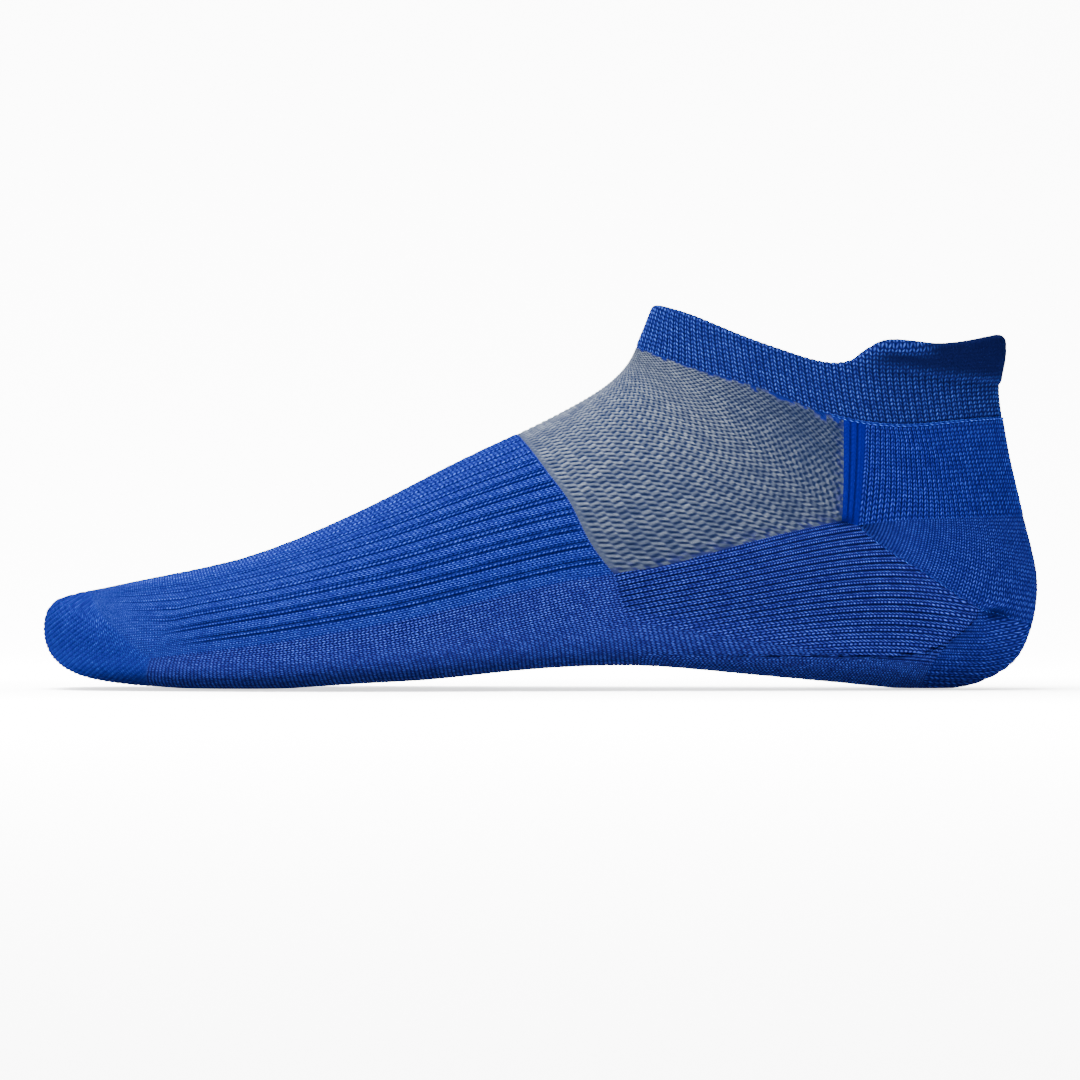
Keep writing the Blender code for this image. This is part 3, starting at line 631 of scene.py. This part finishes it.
class Nodes:
    """A material's node tree, with short calls for the nodes it needs."""

    def __init__(self, name):
        self.material = bpy.data.materials.new(name)
        self.material.use_nodes = True
        self.tree = self.material.node_tree
        self.shader = self.tree.nodes["Principled BSDF"]

    def link(self, value, socket):
        if hasattr(value, "node"):
            self.tree.links.new(value, socket)
        else:
            socket.default_value = value

    def math(self, operation, a, b=0.0):
        node = self.tree.nodes.new("ShaderNodeMath")
        node.operation = operation
        self.link(a, node.inputs[0])
        self.link(b, node.inputs[1])
        return node.outputs[0]

    def mix(self, share, a, b, blend="MIX"):
        node = self.tree.nodes.new("ShaderNodeMix")
        node.data_type = "RGBA"
        node.blend_type = blend
        self.link(share, node.inputs[0])
        self.link(a, node.inputs[6])
        self.link(b, node.inputs[7])
        return node.outputs[2]

    def ramp(self, value, low, high):
        node = self.tree.nodes.new("ShaderNodeMapRange")
        node.interpolation_type = "SMOOTHSTEP"
        self.link(value, node.inputs[0])
        node.inputs[1].default_value, node.inputs[2].default_value = low, high
        return node.outputs[0]

    def attribute(self, name):
        node = self.tree.nodes.new("ShaderNodeAttribute")
        node.attribute_name = name
        return node.outputs["Fac"]

    def stitches(self):
        node = self.tree.nodes.new("ShaderNodeUVMap")
        node.uv_map = "stitches"
        split = self.tree.nodes.new("ShaderNodeSeparateXYZ")
        self.tree.links.new(node.outputs[0], split.inputs[0])
        return split.outputs[0], split.outputs[1]

    def noise(self, scale, detail=2.0, roughness=0.6):
        where = self.tree.nodes.new("ShaderNodeTexCoord")
        node = self.tree.nodes.new("ShaderNodeTexNoise")
        self.tree.links.new(where.outputs["Object"], node.inputs["Vector"])
        node.inputs["Scale"].default_value = scale
        node.inputs["Detail"].default_value = detail
        node.inputs["Roughness"].default_value = roughness
        return node.outputs["Fac"]

    def random(self, x, y):
        join = self.tree.nodes.new("ShaderNodeCombineXYZ")
        self.link(x, join.inputs[0])
        self.link(y, join.inputs[1])
        node = self.tree.nodes.new("ShaderNodeTexWhiteNoise")
        node.noise_dimensions = "2D"
        self.tree.links.new(join.outputs[0], node.inputs["Vector"])
        return node.outputs["Value"]

    def bump(self, height, distance):
        node = self.tree.nodes.new("ShaderNodeBump")
        node.inputs["Strength"].default_value = 1.0
        node.inputs["Distance"].default_value = distance
        self.link(height, node.inputs["Height"])
        return node.outputs[0]


# Noise scales, per metre: the yarn's single fibres, the sway of its stitches, patches of paler fibres, and
# the coarse fibres of covered yarn. How far a knit's yarn and a coarse fibre stand out is in metres.
FIBRE_SCALE, SWAY_SCALE, PATCH_SCALE, COARSE_SCALE = 4200.0, 700.0, 260.0, 2500.0
YARN_RELIEF, FIBRE_RELIEF = 0.00025, 0.0002


def yarn_coat(name, gap_shade, body, light, second=None, lean=0.8, crisp=1.0):
    """Knitted yarn: dark in the gaps, which is painted shade, its own colour on the yarn, and pale on the
    crest of a stitch's legs, a painted highlight that is stronger where stitches and patches are paler at
    random.

    lean is how steep the legs are and crisp how clear they are. The second colour comes in where the mesh's
    tint is high.
    """
    n = Nodes(name)
    w, c = n.stitches()
    shade = n.attribute("shade")
    wobble = n.math("MULTIPLY", n.math("SUBTRACT", n.noise(SWAY_SCALE, 1.0, 0.5), 0.5), 0.5)
    leg = n.math("MULTIPLY", n.math("ABSOLUTE", n.math("SUBTRACT", n.math("FRACT", w), 0.5)), 2.0)
    leg = n.math("MINIMUM", leg, 1.0)
    along = n.math("ADD", n.math("ADD", c, n.math("MULTIPLY", leg, lean)), wobble)
    on_leg = n.math("SINE", n.math("MULTIPLY", leg, math.pi))
    on_row = n.math("SINE", n.math("MULTIPLY", n.math("FRACT", along), math.pi))
    crest = n.math("MULTIPLY", on_leg, on_row)
    fibre = n.noise(FIBRE_SCALE, 3.0, 0.7)
    patchy = n.noise(PATCH_SCALE, 2.0, 0.5)
    each = n.random(n.math("FLOOR", n.math("MULTIPLY", w, 2.0)), n.math("FLOOR", along))
    clear = n.math("ADD", n.math("MULTIPLY", crest, crisp), 0.5 * (1 - crisp))
    # Painted shade: the gaps between the legs, and wherever the shade attribute is low, take the dark gap
    # colour.
    yarn = n.ramp(n.math("ADD", clear, n.math("MULTIPLY", fibre, 0.25)), 0.20, 0.62)
    yarn = n.math("MULTIPLY", yarn, shade)
    colour = n.mix(yarn, (*gap_shade, 1), (*body, 1))
    # Painted highlight: the pale colour on the crests of the legs, stronger in stitches and patches that are
    # paler at random and weaker in painted shade.
    bright = n.math("ADD", n.math("MULTIPLY", each, 0.7), n.math("MULTIPLY", patchy, 0.6))
    crest_highlight = n.ramp(n.math("ADD", clear, n.math("MULTIPLY", fibre, 0.3)), 0.55, 1.15)
    bright = n.math("MULTIPLY", bright, crest_highlight)
    colour = n.mix(n.math("MULTIPLY", bright, n.math("MULTIPLY", shade, shade)), colour, (*light, 1))
    if second:
        in_shade = tuple(0.4 * v for v in second)
        tinted = n.mix(n.ramp(n.math("MULTIPLY", shade, fibre), 0.05, 0.45), (*in_shade, 1), (*second, 1))
        colour = n.mix(n.attribute("tint"), colour, tinted)
    n.link(colour, n.shader.inputs["Base Color"])
    n.shader.inputs["Roughness"].default_value = 0.9
    n.shader.inputs["Specular IOR Level"].default_value = 0.0
    raised = n.math("ADD", n.math("MULTIPLY", clear, 0.8), n.math("MULTIPLY", fibre, 0.2))
    n.link(n.bump(raised, YARN_RELIEF), n.shader.inputs["Normal"])
    return n.material


def plain_coat(name, colour):
    """Covered yarn that isn't knitted: a fibrous surface in one colour."""
    n = Nodes(name)
    fibre = n.noise(COARSE_SCALE, 3.0, 0.7)
    dark = tuple(0.45 * v for v in colour)
    n.link(n.mix(n.ramp(fibre, 0.3, 0.7), (*dark, 1), (*colour, 1)), n.shader.inputs["Base Color"])
    n.shader.inputs["Roughness"].default_value = 0.6
    n.link(n.bump(fibre, FIBRE_RELIEF), n.shader.inputs["Normal"])
    return n.material


# Colours are linear, in the order: the gaps, a painted shade, the yarn, the pale fibres, which the stitches'
# crests take as a painted highlight, and a second yarn.
coats = {
    "blue": yarn_coat(
        "blue knit", (0.0007, 0.0010, 0.013), (0.0041, 0.0029, 0.0425), (0.0229, 0.0493, 0.272)
    ),
    "heel": yarn_coat(
        "heel knit", (0.0007, 0.0012, 0.017), (0.0030, 0.0025, 0.0377), (0.0150, 0.0323, 0.195), crisp=0.8
    ),
    "rib": yarn_coat(
        "forefoot rib", (0.0007, 0.0011, 0.016), (0.0040, 0.0046, 0.0623), (0.0224, 0.0561, 0.306), crisp=0.85
    ),
    "toe": yarn_coat(
        "toe knit", (0.0008, 0.0013, 0.021), (0.0033, 0.0043, 0.0558), (0.0152, 0.0504, 0.2816), crisp=0.6
    ),
    "strip": yarn_coat(
        "bright strip", (0.0003, 0.0005, 0.026), (0.0010, 0.0013, 0.0441), (0.0024, 0.0046, 0.0836), crisp=0.4
    ),
    "mesh": yarn_coat(
        "grey marl mesh", (0.0020, 0.0045, 0.015), (0.0360, 0.0422, 0.057), (0.2880, 0.3220, 0.3562),
        (0.0025, 0.0042, 0.048), crisp=0.1, lean=0.3,
    ),
    "column": yarn_coat(
        "heel column knit", (0.0006, 0.0009, 0.012), (0.0033, 0.0027, 0.046), (0.0158, 0.0385, 0.2652),
        crisp=0.8,
    ),
    # The cuff's second colour is the dark of the tab's lip: partly the navy lining yarn, partly painted shade.
    "cuff": yarn_coat(
        "cuff rib", (0.0005, 0.0009, 0.010), (0.0026, 0.0028, 0.0335), (0.0224, 0.0608, 0.272),
        (0.0010, 0.0015, 0.0114), lean=0.7, crisp=0.75,
    ),
    "terry": yarn_coat("terry lining", (0.0006, 0.0012, 0.018), (0.005, 0.006, 0.060), (0.020, 0.05, 0.25)),
    "thread": yarn_coat(
        "linking thread", (0.0008, 0.0014, 0.024), (0.0050, 0.0060, 0.074), (0.022, 0.064, 0.32)
    ),
    "elastane": plain_coat("covered elastane", (0.60, 0.62, 0.65)),
}


# ---- the knitted zones ----

# Where the fabric bends: the body before the bend, the one behind it, the bend's start and end, in metres.
joints = {joint["name"]: joint for joint in frame["joints"]}
BALL = joints["forefoot_flex_line"]["pos_m"]
FLEX_REACH = 0.027
FLEX = ("toe", "foot", (BALL[0] - FLEX_REACH, 0.0, BALL[2]), (BALL[0] + FLEX_REACH, 0.0, BALL[2]))
TAB_AXIS = joints["heel_tab_fold"]["pos_m"]
FOLD_BEFORE, FOLD_AFTER = 0.0045, 0.0025
TAB_BEND = (
    "foot",
    "heel_tab",
    (TAB_AXIS[0] - FOLD_BEFORE, 0.0, TAB_AXIS[2] - FOLD_BEFORE),
    (TAB_AXIS[0] + FOLD_AFTER, 0.0, TAB_AXIS[2] + FOLD_AFTER),
)


def toe_end():
    """The short-row toe. Its courses slant from the gore down to the sole."""

    def slanted(points, a, s, t):
        x, y, z = points[..., 0] + SOCK_LENGTH / 2, np.abs(points[..., 1]), points[..., 2]
        across = TOE_SLANT_X * x + TOE_SLANT_Z * z + TOE_SLANT_Y * y
        return across / TOE_WALE, (TOE_SLANT_Z * x - TOE_SLANT_X * z) / TOE_COURSE

    tip = level(0.0)
    knit(
        "toe_pocket_lower_knit", ["toe_pocket_lower"], (tip, toe_edge, toe_gore, far(toe_gore)), (78, 50),
        (4.4, 4.4), pocket_relief, coats["toe"], body="toe", field=slanted,
    )
    knit(
        "toe_pocket_upper_knit", ["toe_pocket_upper"], (tip, seam, over(toe_gore), toe_gore), (60, 14),
        (4.5, 5), pocket_relief, coats["toe"], body="toe", field=slanted,
    )


def forefoot():
    """The ribbed top and the plain sole, over the ball of the foot."""
    knit(
        "forefoot_rib_knit", ["forefoot_rib_front", "forefoot_flex", "forefoot_rib_rear"],
        (seam, mesh_front, over(rib_edge), rib_edge), (104, 136), (2.8, 2.4), forefoot_relief, coats["rib"],
        body=FLEX,
    )
    knit(
        "sole_knit", ["sole_front", "sole_ball"], (toe_edge, arch_front, rib_edge, far(rib_edge)), (78, 122),
        (3.2, 3), plain_relief, coats["blue"], body=FLEX,
    )


def instep():
    """The vent mesh and the bright strips beside it. Its wales follow the foot and open towards the cuff."""

    def wales(points, a, s, t):
        across = (1 - MESH_FAN) * MESH_WALES * (s - 0.5) + MESH_FAN * MESH_PER_SHARE * a
        return across, t * MESH_COURSES

    for side, edges in (("left", (mesh_side, strip_rear)), ("right", (far(strip_rear), far(mesh_side)))):
        strip = knit(
            f"side_strip_knit_{side}", [f"side_strip_{side}"], (strip_foot, cuff_lower, *edges), (3, 20),
            (10, 4), strip_relief, coats["strip"],
        )
    knit(
        "instep_mesh_knit", ["instep_mesh"], (mesh_front, cuff_lower, over(mesh_side), mesh_side),
        (MESH_WALES, MESH_COURSES), (4.6, 5), mesh_relief, coats["mesh"], field=wales,
        rim_shade=0.3,
    )


upper_rib, lower_rib = (spline(*np.array(line).T) for line in (ARCH_RIB_TOP, ARCH_RIB_FOOT))


def rib_number(points):
    """The number of the arch rib a point lies on. The ribs fan out from the front, level towards the heel."""
    x, z = points[..., 0] + SOCK_LENGTH / 2, points[..., 2]
    return ARCH_RIBS * (upper_rib(x) - z) / (upper_rib(x) - lower_rib(x))


def under_foot():
    """The arch bands and the waist of the sole."""

    def ribs(points, a, s, t):
        return rib_number(points), t * ARCH_COURSES

    def spread_ribs(points, a, s, t):
        return rib_number(points) + WAIST_SPREAD * np.minimum(s, 1 - s), t * ARCH_COURSES

    def arch_relief_right(w, c, s, t):
        return arch_relief(w, c, 1 - s, t)

    bands = (
        ("left", (arch_upper, arch_lower), arch_relief),
        ("right", (far(arch_lower), far(arch_upper)), arch_relief_right),
    )
    for side, edges, relief in bands:
        knit(
            f"arch_band_knit_{side}", [f"arch_band_{side}"], (arch_front, arch_rear, *edges), (20, 64),
            (8, 4.5), relief, coats["blue"], field=ribs,
        )
    knit(
        "sole_waist_knit", ["sole_waist"], (arch_front, cup_front, arch_lower, far(arch_lower)), (44, 80),
        (3.4, 3), plain_relief, coats["blue"], field=spread_ribs,
    )


def heel():
    """The cup under the heel, the pocket behind it and the upright panel over the achilles tendon."""

    def cup_ribs(points, a, s, t):
        return rib_number(points) + CUP_SPREAD * (share_of(a) - CUP_A), t * CUP_COURSES

    cup_side, pocket_side = level(CUP_A), level(GORE_A)
    knit(
        "heel_cup_knit", ["heel_cup"], (cup_front, heel_gore, cup_side, far(cup_side)), (32, CUP_COURSES),
        (5, 4), cup_relief, coats["heel"], field=cup_ribs,
    )
    knit(
        "heel_pocket_knit", ["heel_pocket"], (heel_gore, heel_line, pocket_side, far(pocket_side)), (78, 24),
        (3.4, 4), plain_relief, coats["heel"],
    )
    knit(
        "achilles_knit", ["achilles_panel"], (heel_line, cuff_lower, strip_rear, far(strip_rear)), (80, 23),
        (5, 4), achilles_relief, coats["column"],
    )


def cushions():
    """Terry loops on the inside, where the CAD model has its pads: from u to u and from a to a."""
    pads = (
        ("toe_terry", "toe_pad", (2.6, 5.4, 0.72, 1.28), (36, 20), "toe"),
        ("ball_terry_front", "ball_pad_front", (6.6, 8.2, 0.78, 1.22), (36, 20), FLEX),
        ("ball_terry_rear", "ball_pad_rear", (9.2, 10.6, 0.78, 1.22), (36, 20), FLEX),
        ("heel_terry", "heel_pad", (15.2, 19.6, 0.84, 1.16), (26, 44), "foot"),
        ("achilles_terry", "achilles_pad", (20.6, 22.6, 0.86, 1.14), (22, 16), "foot"),
    )
    for name, node, edges, (wales, courses), body in pads:
        lines = [level(edge) for edge in edges]
        u, a, s, t = patch(*lines, wales * 4, courses * 4)
        w, c = s * wales, t * courses
        height, shade, tint = terry_relief(w, c, s, t)
        edge = flush(s, t, wales, courses, 2.5)
        depth = TERRY_DEPTH + (TERRY_PILE + height) * np.sqrt(edge)
        points = tube(u, a) - outward(u, a) * depth[..., None]
        data = grid_mesh(name, points, (w, c), shade, tint)
        placed(name, data, coats["terry"], [node], body)


# ---- the turned cuff and the padded tab ----


def tab_share(a):
    """0 round the front of the cuff, rising to 1 behind the front ends of the tab."""
    return smooth(TAB_A, TAB_A + TAB_RISE, share_of(a))


def welt_relief(w, c, around, run, root_run, to_rim):
    """The outside of the welt: ribs, and behind the tab's front ends the smooth padded lip above its root. The
    tint darkens the lip, partly with the navy lining yarn and partly as painted shade of its roll: darkest a
    little below the rim, paler at the rim's edge, near the root and at the front corner. Below the root the
    ribs take a little of the dark, and more just under the root, a painted shadow that fades downwards.

    around is the share of the half loop, run the way up from the cuff's foot, root_run the tab's root on that
    way, and to_rim what is left of it up to the middle of the rim, in mm.
    """
    share = tab_share(around)
    above_root, below_root = np.clip(run - root_run, 0, None), np.clip(root_run - run, 0, None)
    lip = share * smooth(0.0, 1.6, above_root)
    ridge = (0.5 - 0.5 * np.cos(2 * np.pi * w)) ** 0.8
    clear = (1 - 0.80 * lip) * smooth(0.0, 1.0, run)
    fuzz = grain(w * 6, c * 3, 12)
    height = clear * (0.30 * ridge + 0.10 * bumps(c) * ridge) + lip * (0.55 + 0.10 * fuzz)
    height = height - 0.35 * share * bell(above_root + 0.3, 0.8) * (above_root < 4)
    shade = (0.42 + 0.58 * ridge + 0.08 * grain(w, c)) * (1 - lip) + lip * (0.85 + 0.2 * fuzz)
    # Painted shade on the lip and a painted shadow on the ribs just under its root, over the navy of the
    # lining yarn.
    corner = smooth(TAB_A + TAB_CORNER, TAB_A + TAB_RISE, around) * smooth(5.5, 2.5, to_rim)
    shade_below_rim, off_root = smooth(0.6, 2.4, to_rim), smooth(0.0, 4.0, above_root)
    tint = lip * (1 - corner) * (0.45 + 0.55 * shade_below_rim) * (0.55 + 0.45 * off_root)
    tint = tint + (0.12 + 0.45 * np.exp(-below_root / 2.5)) * share * (1 - lip)
    return height, shade, tint


def rim_turn(outside, inside, up):
    """The half round from the outside's upper edge over to the inside's."""
    middle, reach = (outside + inside) / 2, (outside - inside) / 2
    up = up / np.linalg.norm(up, axis=-1, keepdims=True) * np.linalg.norm(reach, axis=-1, keepdims=True)
    turn = np.linspace(0, math.pi, RIM_STEPS + 2)[1:-1]
    return middle + reach * np.cos(turn)[None, :, None] + up * np.sin(turn)[None, :, None]


def over_rim(outside, inside):
    """Values up the outside, the uppermost one over the rim, and the values down the inside."""
    return np.concatenate([outside, np.repeat(outside[:, -1:], RIM_STEPS, axis=1), inside[:, ::-1]], axis=1)


def welt_quads(a, columns):
    """Which quads of the turned layer are the cuff's and which the tab's.

    The tab's quads lie from its root up over the rim and down to its root. In front of the tab the root is
    the foot of the turn, so the quads between the two have no area and belong to neither.
    """
    behind = share_of(a) > TAB_A - TAB_SLACK
    in_tab = (behind[:-1] & behind[1:])[:, None]
    root, turn_start, turn_end = CUFF_STEPS, CUFF_STEPS + TAB_STEPS, CUFF_STEPS + TAB_STEPS + 1 + RIM_STEPS
    tab = np.zeros((len(a) - 1, columns - 1), bool)
    tab[:, root : columns - 1 - root] = in_tab
    empty = np.zeros_like(tab)
    empty[:, root:turn_start] = ~in_tab
    empty[:, turn_end : columns - 1 - root] = ~in_tab
    return ~tab & ~empty, tab


def welt():
    """The cuff and the tab as one turned layer: up the outside, round the rim and down the inside."""
    a = np.linspace(0, 2, WELT_RIBS * WELT_FINE + 1)[:, None]
    share, foot, top = share_of(a), cuff_lower(a), rim(a)
    thick = CUFF_THICK + (TAB_THICK - CUFF_THICK) * tab_share(a)
    small = 0.2
    rise = np.linalg.norm(tube(top, a) - tube(top - small, a), axis=-1) / small
    turn_foot = top - thick / 2 / rise
    root = np.minimum(tab_root(np.maximum(share, TAB_A)), turn_foot)
    root = np.where(share < TAB_A, turn_foot, root)
    up_cuff, up_tab = np.linspace(0, 1, CUFF_STEPS + 1), np.linspace(0, 1, TAB_STEPS + 1)[1:]
    u = np.concatenate([foot + (root - foot) * up_cuff, root + (turn_foot - root) * up_tab], axis=1)
    spread = np.broadcast_to(a, u.shape)
    base, normal = tube(u, spread), outward(u, spread)
    step = np.linalg.norm(np.diff(base, axis=1), axis=-1)
    run = np.concatenate([np.zeros((len(a), 1)), np.cumsum(step, axis=1)], axis=1)
    to_rim = run[:, -1:] + thick * math.pi / 4 - run

    w, c = np.broadcast_to(a / 2 * WELT_RIBS + 0.5, run.shape), run / WELT_COURSE
    root_run = run[:, CUFF_STEPS : CUFF_STEPS + 1]
    height, shade, tint = welt_relief(w, c, share_of(spread), run, root_run, to_rim)
    outside = base + normal * height[..., None]
    loops = purl(w * 2, c)
    sink = np.maximum(thick * smooth(0.0, 0.5, run / np.maximum(run[:, -1:], 1e-6)), LINING_DEPTH)
    inside = base - normal * (sink - 0.14 * loops)[..., None]
    up = tube(turn_foot, a) - tube(turn_foot - small, a)
    bulge = rim_turn(outside[:, -1:], inside[:, -1:], up)
    points = np.concatenate([outside, bulge, inside[:, ::-1]], axis=1)

    rim_c = c[:, -1:] + np.arange(1, RIM_STEPS + 1)[None, :] * 0.35
    cs = np.concatenate([c, rim_c, rim_c[:, -1:] + c[:, -1:] - c[:, ::-1]], axis=1)
    stitches = (over_rim(w, w), cs)
    # The inside: purl loops, with painted shade between them.
    shades = over_rim(shade, 0.45 + 0.4 * loops)
    tints = over_rim(tint, 0.3 * np.broadcast_to(tab_share(a), run.shape))
    in_cuff, in_tab = welt_quads(a[:, 0], points.shape[1])
    cuff = grid_mesh("cuff_knit", points, stitches, shades, tints, keep=in_cuff)
    tab = grid_mesh("heel_tab_knit", points, stitches, shades, tints, keep=in_tab)
    weld(cuff)
    weld(tab)
    cuff_piece = placed("cuff_knit", cuff, coats["cuff"], ["cuff_rib", "cuff_lining"], TAB_BEND)
    wings = [f"tab_wing{part}_{side}" for part in ("", "_lining") for side in ("left", "right")]
    middle_nodes = ["heel_tab_outer", "heel_tab_pad", "heel_tab_lining"]
    placed("heel_tab_knit", tab, coats["cuff"], middle_nodes + wings, TAB_BEND)


# ---- linked seams ----


def unit(vectors):
    """The vectors at length 1."""
    return vectors / np.linalg.norm(vectors, axis=1, keepdims=True)


def chain(name, replaces, u, a, radius, lift, body="foot", closed=False):
    """A row of linked stitches along a seam: a cord of two strands twisted round each other."""
    path = tube(u, a)
    path = path + outward(u, a) * (lift + pucker(path))[:, None]
    path[:, 2] = np.maximum(path[:, 2], radius * 0.6)
    run = np.concatenate([[0], np.cumsum(np.linalg.norm(np.diff(path, axis=0), axis=1))])
    places = np.arange(0, run[-1], CHAIN_STEP)
    path = np.stack([np.interp(places, run, path[:, k]) for k in range(3)], axis=1)
    along = unit(np.gradient(path, axis=0))
    out = np.stack([np.interp(places, run, outward(u, a)[:, k]) for k in range(3)], axis=1)
    out = unit(out - (out * along).sum(1, keepdims=True) * along)
    side = np.cross(along, out)
    angle = np.linspace(0, 2 * math.pi, 13)
    phase = places[:, None] / CHAIN_PITCH * math.pi
    strand = np.abs(np.cos(angle[None, :] - phase))
    girth = radius * (0.62 + 0.38 * strand)
    ends = smooth(0, 1.0, np.minimum(places, places[-1] - places))[:, None] if not closed else 1.0
    girth = girth * np.maximum(ends, 0.05)
    ring_points = path[:, None] + girth[..., None] * (
        out[:, None] * np.cos(angle)[None, :, None] + side[:, None] * np.sin(angle)[None, :, None]
    )
    ring_points[..., 2] = np.maximum(ring_points[..., 2], 0.0)
    uv = (angle[None, :] / math.pi, places[:, None] / CHAIN_PITCH)
    # Painted shade: darker between the two strands.
    data = grid_mesh(name, ring_points, uv, 0.45 + 0.55 * strand, 0.0)
    return placed(name, data, coats["thread"], replaces, body)


def seams():
    """The linking threads along the toe's gores and closing seam, the heel's gores and the cuff's foot."""
    u = np.linspace(0.5, 5.7, 120)
    for side, a in (("left", toe_gore(u)), ("right", -toe_gore(u))):
        chain(f"toe_gore_chain_{side}", [f"toe_gore_{side}"], u, a, *TOE_GORE_THREAD, body="toe")
    reach = 0.93 * float(rib_edge(6.2))
    a = np.linspace(-reach, reach, 200)
    chain("toe_seam_chain", ["toe_seam"], seam(a), a, *TOE_SEAM_THREAD, body="toe")
    near_a = np.linspace(GORE_A, 0.90, 160)
    for side, a in (("left", near_a), ("right", 2 - near_a)):
        chain(f"heel_gore_chain_{side}", [f"heel_gore_{side}"], heel_gore(near_a), a, *HEEL_GORE_THREAD)
    a = np.linspace(0, 2, 400)
    lift = -WELT_THREAD_SUNK + WELT_THREAD_SUNK * smooth(0.42, 0.56, share_of(a))
    chain("welt_join_chain", ["welt_join"], cuff_lower(a), a, WELT_THREAD_RADIUS, lift, closed=True)


toe_end()
forefoot()
instep()
under_foot()
heel()
cushions()
welt()
seams()
for count in (1, 2, 3):
    bpy.data.objects[f"cuff_elastic_{count}"].material_slots[0].material = coats["elastane"]


# ---- stage, light and camera ----


def stage():
    """A pale floor that curves up into a backdrop. It glows and lights the sock, less near the sock, which
    paints a soft shadow on the floor there.
    """
    turn = np.linspace(0, math.pi / 2, 17)
    bend_y = BACKDROP_Y - BACKDROP_BEND + BACKDROP_BEND * np.sin(turn)
    ys = np.concatenate([[-FLOOR_REACH], bend_y, [BACKDROP_Y]])
    zs = np.concatenate([[0.0], BACKDROP_BEND * (1 - np.cos(turn)), [FLOOR_REACH]])
    verts = [(x, y, z - FLOOR_DROP) for y, z in zip(ys, zs) for x in (-FLOOR_REACH, FLOOR_REACH)]
    faces = [(2 * i, 2 * i + 1, 2 * i + 3, 2 * i + 2) for i in range(len(ys) - 1)]
    data = bpy.data.meshes.new("floor")
    data.from_pydata(verts, [], faces)
    data.shade_smooth()
    floor = bpy.data.objects.new("floor", data)
    bpy.context.scene.collection.objects.link(floor)
    n = Nodes("pale floor")
    n.shader.inputs["Base Color"].default_value = (0.90, 0.90, 0.90, 1)
    n.shader.inputs["Roughness"].default_value = 0.95
    n.shader.inputs["Specular IOR Level"].default_value = 0.0
    n.shader.inputs["Emission Color"].default_value = (1, 1, 1, 1)
    where = n.tree.nodes.new("ShaderNodeNewGeometry").outputs["Position"]
    squeezed = n.tree.nodes.new("ShaderNodeVectorMath")
    squeezed.operation = "MULTIPLY"
    n.tree.links.new(where, squeezed.inputs[0])
    squeezed.inputs[1].default_value = GLOW_SQUEEZE
    away = n.tree.nodes.new("ShaderNodeVectorMath")
    away.operation = "LENGTH"
    n.tree.links.new(squeezed.outputs[0], away.inputs[0])
    # Painted shadow: the floor glows less within reach of the sock.
    glow = n.math("MULTIPLY", n.ramp(away.outputs["Value"], *GLOW_REACH), FLOOR_GLOW - GLOW_UNDER_SOCK)
    n.link(n.math("ADD", glow, GLOW_UNDER_SOCK), n.shader.inputs["Emission Strength"])
    data.materials.append(n.material)


def area_light(name, place, target, size, power):
    """A rectangular light that faces its target."""
    data = bpy.data.lights.new(name, "AREA")
    data.shape = "RECTANGLE"
    data.size, data.size_y = size
    data.energy = power
    light = bpy.data.objects.new(name, data)
    bpy.context.scene.collection.objects.link(light)
    light.location = place
    way = np.array(target, float) - np.array(place, float)
    light.rotation_euler = Vector(way).to_track_quat("-Z", "Y").to_euler()


def camera():
    """Level, square on to the -Y side, at the distance a long lens needs for the photograph's framing."""
    view_width, centre_height, distance = 0.2885, 0.0395, 2.2
    data = bpy.data.cameras.new("camera")
    data.sensor_width = 36.0
    data.lens = data.sensor_width * distance / view_width
    made = bpy.data.objects.new("camera", data)
    bpy.context.scene.collection.objects.link(made)
    made.location = (0.0, -distance, centre_height)
    made.rotation_euler = (math.pi / 2, 0.0, 0.0)
    bpy.context.scene.camera = made


def studio_light():
    """Soft white light from all sides."""
    world = bpy.data.worlds.new("studio")
    world.use_nodes = True
    background = world.node_tree.nodes["Background"]
    background.inputs["Color"].default_value = (1, 1, 1, 1)
    background.inputs["Strength"].default_value = WORLD_LIGHT
    bpy.context.scene.world = world


stage()
area_light("top", (-0.25, -0.10, 1.1), (0, 0, 0.03), (0.9, 0.7), TOP_WATTS)
area_light("front", (-0.6, -1.3, 0.75), (0, 0, 0.04), (0.8, 0.6), FRONT_WATTS)
studio_light()
camera()
